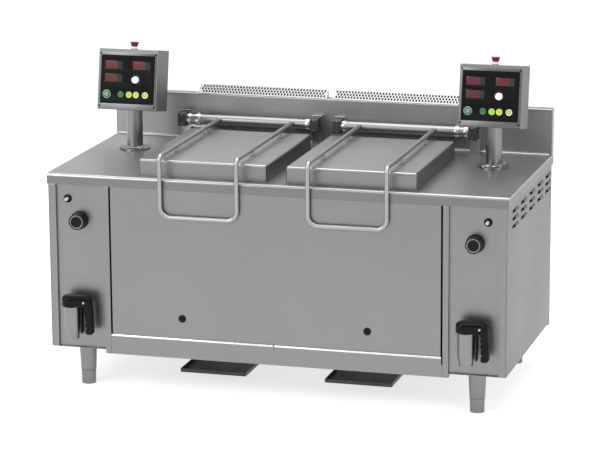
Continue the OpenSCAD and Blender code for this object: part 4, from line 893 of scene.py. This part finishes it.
def add_igniter(side):
    """The ignition button in its black bezel and threaded barrel."""
    low, high = box(f"igniter_button_{side}")
    centre = (low + high) / 2
    panel = FRONT + PANEL_IN
    place = facing((centre.x, panel, centre.z), -Y)
    barrel = [(9.6 if i % 2 else 10.8, i - 40) for i in range(40)]
    bezel = lathe("bezel", [(0, -43), (10, -43)] + barrel + rounded([(11, -0.6), (11, 0),
        (18, 0, 0.4), (18, 3.2, 2.2), (14.5, 5, 1.2), (9.6, 5, 0.8), (9, 2), (7.3, 1), (7.3, -17),
        (0, -17)], 4), 64)
    piece = add_piece(f"igniter_bezel_{side}", bezel, "black", place, "cabinet")
    if side == "left":
        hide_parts("igniter_bodies")
    nut = lathe("nut", [(11, -2.2), (16, -2.2), (16, -7), (11, -7)], 6)
    add_piece(f"igniter_nut_{side}", nut, "bright", place, "cabinet")
    reach = panel - low.y
    button = spindle("button", [(0, -12), (7, -12), (7, reach, 1.6), (4.5, reach - 0.4),
        (0, reach - 0.8)], 5, 48)
    cap = add_piece(f"igniter_cap_{side}", button, "button", place, f"igniter_button_{side}")
    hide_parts(f"igniter_button_{side}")


def add_plugs():
    """The round black plugs in the centre panel."""
    low, high = box("front_plugs")
    z = (low.z + high.z) / 2
    r = (high.z - low.z) / 2
    profile = rounded([(0, -10), (12, -10, 1), (13.6, -6), (13.4, -2), (13.8, 0), (r, 0, 0.4),
        (r, 1.6, 1.2), (r - 4, 3.4, 3), (r * 0.55, 3.9, 1), (r * 0.5, 3.2, 0.6), (0, 3)], 4)
    spots = [facing((x, FRONT, z), -Y) for x in (low.x + r, high.x - r)]
    mesh = lathe("plug", profile, 64)
    plugs = join_parts("plug_caps", copies(mesh, spots), "rubber", "cabinet")
    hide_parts("front_plugs")


# Taps

CAP_HEIGHT = 48
CAP_RADIUS = 35
CAP_BACK = 9
CAP_END = (60, 24)
GRIP_INNER = 60
GRIP_OUTER = 96
GRIP_LEAN = 2
GRIP_LOW = 122
GRIP_THICK = 34
PIVOT = (60, 21)
GROOVE_PITCH = 25
TRIGGER_LOW = 118


def cap_ring(inset, height):
    """One level of the cap: a rounded outline between its wide and its narrow end."""
    steps = 48
    wide, narrow = CAP_RADIUS - inset, CAP_END[1] - inset
    ring = []
    for i in range(steps):
        turn = 2 * math.pi * i / steps
        far = math.cos(turn) > 0
        centre = CAP_END[0] if far else -CAP_BACK
        radius = narrow if far else wide
        ring.append((centre + radius * math.cos(turn), radius * math.sin(turn), height))
    return ring


def loft(name, rings):
    """A closed solid through rings of points."""
    shape = bmesh.new()
    made = [[shape.verts.new(point) for point in ring] for ring in rings]
    count = len(made[0])
    for low, high in zip(made, made[1:]):
        for i in range(count):
            j = (i + 1) % count
            shape.faces.new((low[i], low[j], high[j], high[i]))
    shape.faces.new(made[0][::-1])
    shape.faces.new(made[-1])
    return finish_mesh(shape, name)


def handle_mesh():
    """The moulded tap handle: cap and grip melted into one smooth body."""
    crown = 20
    levels = [(3, 0.0), (0.8, 1), (0, 3), (0, CAP_HEIGHT - crown)]
    for step in range(1, 7):
        turn = math.radians(15 * step)
        levels.append((crown * (1 - math.cos(turn)), CAP_HEIGHT - crown + crown * math.sin(turn)))
    cap = loft("cap", [cap_ring(inset, height) for inset, height in levels])
    lean = GRIP_LEAN
    top = CAP_HEIGHT - 8
    outline = [(GRIP_INNER + 2, top, 8), (GRIP_INNER + 1, 0)]
    for i in range(4):
        middle = -18 - i * GROOVE_PITCH
        shift = lean * (i + 1) / 5
        outline.append((GRIP_INNER + shift, middle + 9, 4))
        outline.append((GRIP_INNER + shift + 6, middle, 9))
        outline.append((GRIP_INNER + shift + 1, middle - 9, 4))
    outline += [(GRIP_INNER + lean - 1, -GRIP_LOW, 9), (GRIP_OUTER + lean, -GRIP_LOW, 16),
        (GRIP_OUTER + lean, -50, 60), (GRIP_OUTER - 2, 16, 60), (GRIP_OUTER - 8, top, 12)]
    grip = plate("grip", rounded(outline, 6, True), GRIP_THICK, 9)
    stand = moved(0, GRIP_THICK / 2, 0) @ turned(90, "X")
    whole = gathered("handle", [(cap, Matrix.Identity(4)), (grip, stand)])
    return worked(whole, ("REMESH", {"mode": "VOXEL", "voxel_size": 1.4 * MM}),
        ("SMOOTH", {"iterations": 5, "factor": 0.5}))


def cut_slot(mesh):
    """The handle with the slot that its trigger hangs in."""
    thick = 12.6
    roof = PIVOT[1] + 8
    cutter = plate("cutter", [(37.5, -4), (68, -4), (68, roof), (52, roof), (37.5, 10)], thick,
        0.2)
    cutter.transform(moved(0, thick / 2, 0) @ turned(90, "X"))
    tool = bpy.data.objects.new("cutter", cutter)
    bpy.context.scene.collection.objects.link(tool)
    result = worked(mesh, ("BOOLEAN", {"operation": "DIFFERENCE", "object": tool,
        "solver": "EXACT"}))
    bpy.data.objects.remove(tool)
    return result


def add_tap(side):
    """Handle, trigger, pins and trim of one drain tap."""
    middle = pivot(f"drain_handle_{side}_turn")[0]
    valve_top = box(f"drain_handle_{side}")[1].z - CAP_HEIGHT
    place = moved(middle.x, middle.y, valve_top)
    body = f"drain_handle_{side}"
    mesh = cut_slot(handle_mesh())
    smooth(mesh, 50)
    handle = add_piece(f"tap_handle_{side}", mesh, "black", place, body)
    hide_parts(body)
    pin = spindle("pin", [(0, 0), (5.2, 0), (5.2, 1.6, 1.2), (0, 2.4)], 4, 40)
    small = spindle("small_pin", [(0, 0), (3, 0), (3, 1.2, 0.8), (0, 1.6)], 4, 32)
    reach = CAP_END[1] - 0.6
    spots = [(pin, facing((PIVOT[0], s * reach, PIVOT[1]), s * Y)) for s in (-1, 1)]
    spots += [(small, facing((PIVOT[0] - 1, s * (reach - 1), 8), s * Y)) for s in (-1, 1)]
    add_piece(f"tap_pins_{side}", gathered("pins", spots), "pin", place, body)
    add_trigger(side, place)
    add_tap_trim(side, middle, valve_top)


def add_trigger(side, place):
    """The slim black trigger between the tap and the grip."""
    body = f"drain_trigger_{side}"
    low = TRIGGER_LOW
    outline = rounded([(53, PIVOT[1]), (60, PIVOT[1] + 6.6, 6), (67, PIVOT[1], 5),
        (60, PIVOT[1] - 7, 4), (48.5, -12, 8), (48.5, 6 - low, 3), (46.5, -low, 2),
        (43.5, -low, 1.5), (41.5, 6 - low, 3), (41.5, -12, 8)], 4, True)
    thick = 11.4
    lever = plate("lever", outline, thick, 1.2)
    pad = plate("pad", rounded([(48.5, -12, 3), (48.5, 6 - low, 3), (46.5, 0.5 - low, 2),
        (43.5, 0.5 - low, 1.5), (41.5, 6 - low, 3), (41.5, -12, 3)], 4, True), 23, 1.6)
    upright = turned(90, "X")
    parts = [(lever, moved(0, thick / 2, 0) @ upright), (pad, moved(0, 11.5, 0) @ upright)]
    trigger = add_piece(f"tap_trigger_{side}", gathered("trigger", parts), "rubber", place, body)
    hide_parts(body)


def add_tap_trim(side, middle, valve_top):
    """Collar, mouth ring and inlet nut of one tap."""
    place = moved(middle.x, middle.y, 0)
    collar = spindle("collar", [(34, valve_top - 7), (35.7, valve_top - 6.4, 0.6),
        (35.7, valve_top - 2, 0.8), (34, valve_top - 1.4)], 3, 72)
    add_piece(f"tap_collar_{side}", collar, "cast", place, "cabinet")
    mouth = box("drain_valves")[0].z
    ring = spindle("mouth", [(24.3, mouth + 1), (25, mouth, 0.6), (29.2, mouth, 1),
        (30, mouth + 5, 1.2), (28, mouth + 6)], 3, 72)
    add_piece(f"tap_mouth_{side}", ring, "cast", place, "cabinet")
    drain = (mouth + valve_top) / 2 + 1
    nut = spindle("inlet_nut", [(23, -1), (34, -1, 1), (34, 6, 1.5), (23, 7)], 2, 6)
    washer = spindle("washer", [(24, 0), (38, 0), (38, 1.6, 0.5), (24, 1.6)], 2, 64)
    panel = facing((middle.x, FRONT + PANEL_IN, drain), -Y)
    parts = [(nut, at(panel, 0, 0, 1.6)), (washer, panel)]
    join_parts(f"tap_inlet_{side}", parts, "cast", "cabinet")


# Lids and hinges

TUBE_LENGTH = 572
BLOCK_WIDTH = 38
BLOCK_GAP = 1
ROD_GAP = 337
ROD_RISE = 6
LOOP_FRONT = 14
STUD_RADIUS = 8
STUD_SHARES = (0.25, 0.84)
TUBE_RADIUS = 23.5
CLAMP_IN = 52
PLUGS_IN = 42


def dress_lid(side):
    """Collars, weld beads and foot washers on one lid's arm."""
    sign = -1 if side == "left" else 1
    low, high = box(f"lid_{side}")
    body = f"lid_{side}"
    hinge = pivot(f"lid_{side}_hinge")[0]
    middle = (low.x + high.x) / 2
    rods = [middle - ROD_GAP / 2, middle + ROD_GAP / 2]
    rod_z = hinge.z + ROD_RISE
    r = FRONT - LOOP_FRONT - box(f"lid_arm_{side}")[0].y
    stud = STUD_RADIUS
    foot = spindle("foot_washer", [(stud + 0.3, 0), (stud + 6, 0), (stud + 6, 1.6, 0.8),
        (stud + 2.5, 2.4, 0.8), (stud, 4), (stud, 1)], 3, 40)
    feet = [(foot, moved(x, low.y + share * (high.y - low.y), high.z)) for x in rods
        for share in STUD_SHARES]
    bead = spindle("bead", [(r - 0.5, -4), (r + 2.7, -1.5, 1), (r + 0.7, 2.5, 1), (r - 0.3, 4)],
        3, 36)
    beads = [(bead, facing((x, hinge.y - TUBE_RADIUS, rod_z), -Y)) for x in rods]
    join_parts(f"arm_beads_{side}", beads, "rod", body)
    join_parts(f"lid_feet_{side}", feet, "screw", body)
    ring = spindle("end_ring", [(20, -9), (25.2, -9, 0.8), (25.2, 9, 0.8), (20, 9)], 3, 72)
    stub = spindle("stub", [(0, 0), (6, 0), (6, 6, 1), (3.2, 6, 0.3), (2.8, 3.5), (0, 3.5)], 3,
        32)
    collars = [(ring, facing((hinge.x + end * (TUBE_LENGTH / 2 - 11), hinge.y, hinge.z), X))
        for end in (-1, 1)]
    outer = hinge.x + sign * (TUBE_LENGTH / 2 - CLAMP_IN)
    inner = hinge.x - sign * (TUBE_LENGTH / 2 - PLUGS_IN)
    collars.append((stub, moved(outer, hinge.y, hinge.z + TUBE_RADIUS - 0.3)))
    clamp = spindle("clamp", [(23, -11), (26.5, -11, 1), (26.5, 11, 1), (23, 11)], 3, 72)
    collars.append((clamp, facing((outer, hinge.y, hinge.z), X)))
    join_parts(f"hinge_collars_{side}", collars, "bright", body)
    hole = spindle("hole", [(0, 0.6), (4.5, 0.6, 0.3), (5, -1.5)], 2, 32)
    top = hinge.z + TUBE_RADIUS - 0.1
    plugs = [(hole, moved(inner + dx, hinge.y - 4, top)) for dx in (-9, 9)]
    join_parts(f"hinge_plugs_{side}", plugs, "rubber", body)


def add_block_screws():
    """Socket screws in the bearing blocks."""
    low, high = box("hinge_blocks")
    outer = high.x - BLOCK_WIDTH / 2
    inner = outer - (TUBE_LENGTH + BLOCK_WIDTH + BLOCK_GAP)
    screw = button_screw(4.6, 3)
    spots = []
    for x in (-outer, -inner, inner, outer):
        for dz in (-21, 21):
            spots.append(facing((x, low.y, (low.z + high.z) / 2 + dz), -Y))
    join_parts("block_screws", copies(screw, spots), "screw", "cabinet")


# Small metal fixings on the cabinet

POST_IN = 590
POST_RADIUS = 35
BOLT_CIRCLE_SHARE = 0.75
VENT_SHEET = 2
VENT_GAP = 28
LOUVRE_SIZE = (64, 16, 5.2)
LOUVRE_OPEN = 44
LOUVRE_SHEET = 2
LOUVRE_COLUMNS = 5
LOUVRE_ROWS = 3
LOUVRE_ROW_PITCH = 32.5
LOUVRE_FIRST = 176
LOUVRE_LAST_MARGIN = 64
LOUVRE_DROP = 71
SHADE_STRIP_MARGIN = 12
CENTRE_HALF = 717
SUPPLY_STUBS = ((0, 640, 13.2), (-700, 830, 10.5), (700, 830, 10.5))
GLAND_STUB = (640, 420, 12)
RAIL_BEAD = (-2, 240, 6.2)


def add_vent_painted_shade():
    """A black sheet of painted shade right under the sloping sheet of each flue vent, so its
    slots show dark.
    """
    low, high = box("flue_vents")
    deep, tall = high.y - low.y, high.z - low.z
    slope = math.atan2(tall, deep)
    outward = Vector((0, -math.sin(slope), math.cos(slope)))
    length = math.hypot(deep, tall) - 14
    width = (high.x - low.x - VENT_GAP) / 2 - 3 * VENT_SHEET
    middle = Vector((0, (low.y + high.y) / 2, (low.z + high.z) / 2))
    liner = plate("liner", rectangle(width, length, 1), 0.6, 0.1)
    parts = []
    for end in (-1, 1):
        centre = middle + end * (VENT_GAP + width + 3 * VENT_SHEET) / 2 * X
        parts.append((liner, facing(centre - (VENT_SHEET + 1.6) * outward, outward)))
    join_parts("vent_painted_shade", parts, "painted_shade", "cabinet")


def add_louvre_painted_shade(side):
    """Painted shade: black wedges in the hoods of a side panel's air slots, and a black strip
    behind each row.
    """
    width, height, out = LOUVRE_SIZE
    sign = -1 if side == "left" else 1
    low, high = box(f"side_panel_{side}")
    face = (high.x if sign > 0 else -low.x) - out
    span = BACK - FRONT - LOUVRE_LAST_MARGIN - LOUVRE_FIRST
    pitch = span / (LOUVRE_COLUMNS - 1)
    wedge = plate("wedge", [(0, -LOUVRE_SHEET), (out - LOUVRE_SHEET / 2, 0.4 - height),
        (0, 0.4 - height)], width - 2, 0.1)
    stand = turned(90, "X")
    mirror = Matrix.Scale(sign, 4, X)
    parts = []
    for column in range(LOUVRE_COLUMNS):
        y = FRONT + LOUVRE_FIRST + column * pitch + width / 2 - 1
        for row in range(LOUVRE_ROWS):
            z = TOP - LOUVRE_DROP - row * LOUVRE_ROW_PITCH
            parts.append((wedge, mirror @ moved(face, y, z) @ stand))
    reach = span + width + LOUVRE_OPEN + 2 * SHADE_STRIP_MARGIN
    middle = FRONT + LOUVRE_FIRST - width / 2 - LOUVRE_OPEN - SHADE_STRIP_MARGIN + reach / 2
    # A black strip of painted shade behind each row of slots.
    strip = plate("shade_strip", rectangle(reach, height + 8, 3), 1, 0.2)
    for row in range(LOUVRE_ROWS):
        z = TOP - LOUVRE_DROP - row * LOUVRE_ROW_PITCH - height / 2
        parts.append((strip, mirror @ facing((face - LOUVRE_SHEET - 1.4, middle, z), X)))
    mesh = gathered("louvre_painted_shade", parts)
    if sign < 0:
        mesh.flip_normals()
    add_piece(f"louvre_painted_shade_{side}", mesh, "painted_shade", Matrix.Identity(4), "cabinet")


def add_post_bolts():
    """Hexagon bolts with washers on the flanges of the console posts."""
    low, high = box("console_posts")
    radius = FRONT + POST_IN - low.y
    flange = TOP + 8
    circle_radius = BOLT_CIRCLE_SHARE * radius
    head = spindle("head", [(0, 5.2), (5.4, 5.2, 0.3), (6.6, 4.4, 0.2), (6.6, 1.2), (0, 1.2)], 2,
        6)
    washer = spindle("washer", [(0, 1.4), (8.4, 1.4, 0.4), (8.4, 0), (0, 0)], 2, 32)
    parts = []
    for x in (low.x + radius, high.x - radius):
        for i in range(4):
            turn = math.radians(45 + 90 * i)
            spot = moved(x + circle_radius * math.cos(turn),
                low.y + radius + circle_radius * math.sin(turn), flange)
            parts += [(head, spot @ Matrix.Rotation(0.4 * i, 4, "Z")), (washer, spot)]
    join_parts("post_bolts", parts, "bright", "cabinet")
    r = POST_RADIUS
    bead = spindle("bead", [(r - 0.5, 6), (r + 1, 5), (r + 3.6, 1, 1.5), (r + 6, -0.5),
        (r - 0.5, -0.5)], 4, 72)
    beads = [(bead, moved(x, low.y + radius, flange)) for x in (low.x + radius, high.x - radius)]
    join_parts("post_beads", beads, "bright", "cabinet")


def add_rail_beads():
    """The rolled bead along the top of each half of the lower rail, in near-white steel that
    paints its highlight.
    """
    y, z, r = RAIL_BEAD
    first, last = 3, CENTRE_HALF + 4
    bead = spindle("rail_bead", [(0, first), (r - 1, first), (r, first + 1, 0.6),
        (r, last - 1, 0.6), (r - 1, last), (0, last)], 3, 40)
    parts = [(bead, facing((0, FRONT + y, z), sign * X)) for sign in (-1, 1)]
    join_parts("rail_beads", parts, "bead", "cabinet")


def add_rear_fixings():
    """Screws round the rear panel, nuts on the supplies and a domed gland nut."""
    low, high = box("rear_panel")
    screw = button_screw(4.5, 2.2)
    spots = []
    inset, upper = 24, 60
    columns, rows = 8, 4
    for i in range(columns + 1):
        x = low.x + inset + i * (high.x - low.x - 2 * inset) / columns
        for z in (low.z + inset, high.z - upper):
            spots.append(facing((x, high.y, z), Y))
    for i in range(1, rows):
        z = low.z + inset + i * (high.z - low.z - inset - upper) / rows
        for x in (low.x + inset, high.x - inset):
            spots.append(facing((x, high.y, z), Y))
    join_parts("rear_screws", copies(screw, spots), "bright", "cabinet")
    nuts = []
    for x, z, bore in SUPPLY_STUBS:
        nut = spindle("supply_nut", [(bore - 0.4, 0), (1.8 * bore, 0, 0.5), (1.8 * bore, 9, 1.2),
            (bore - 0.4, 9)], 3, 6)
        nuts.append((nut, facing((x, high.y, z), Y)))
    x, z, bore = GLAND_STUB
    dome = spindle("gland_dome", [(bore - 0.4, 9), (bore + 3.4, 9, 0.6), (bore + 2.8, 15, 3),
        (bore - 0.4, 18)], 4, 48)
    nuts.append((dome, facing((x, high.y, z), Y)))
    join_parts("supply_nuts", nuts, "bright", "cabinet")


def main():
    set_camera()
    set_light()
    set_floor()
    dress_nodes()
    for side in SIDES:
        dress_console(side)
        add_knob(side)
        add_igniter(side)
        add_tap(side)
        dress_lid(side)
    add_plugs()
    add_block_screws()
    add_post_bolts()
    add_vent_painted_shade()
    for side in SIDES:
        add_louvre_painted_shade(side)
    add_rail_beads()
    add_rear_fixings()


main()
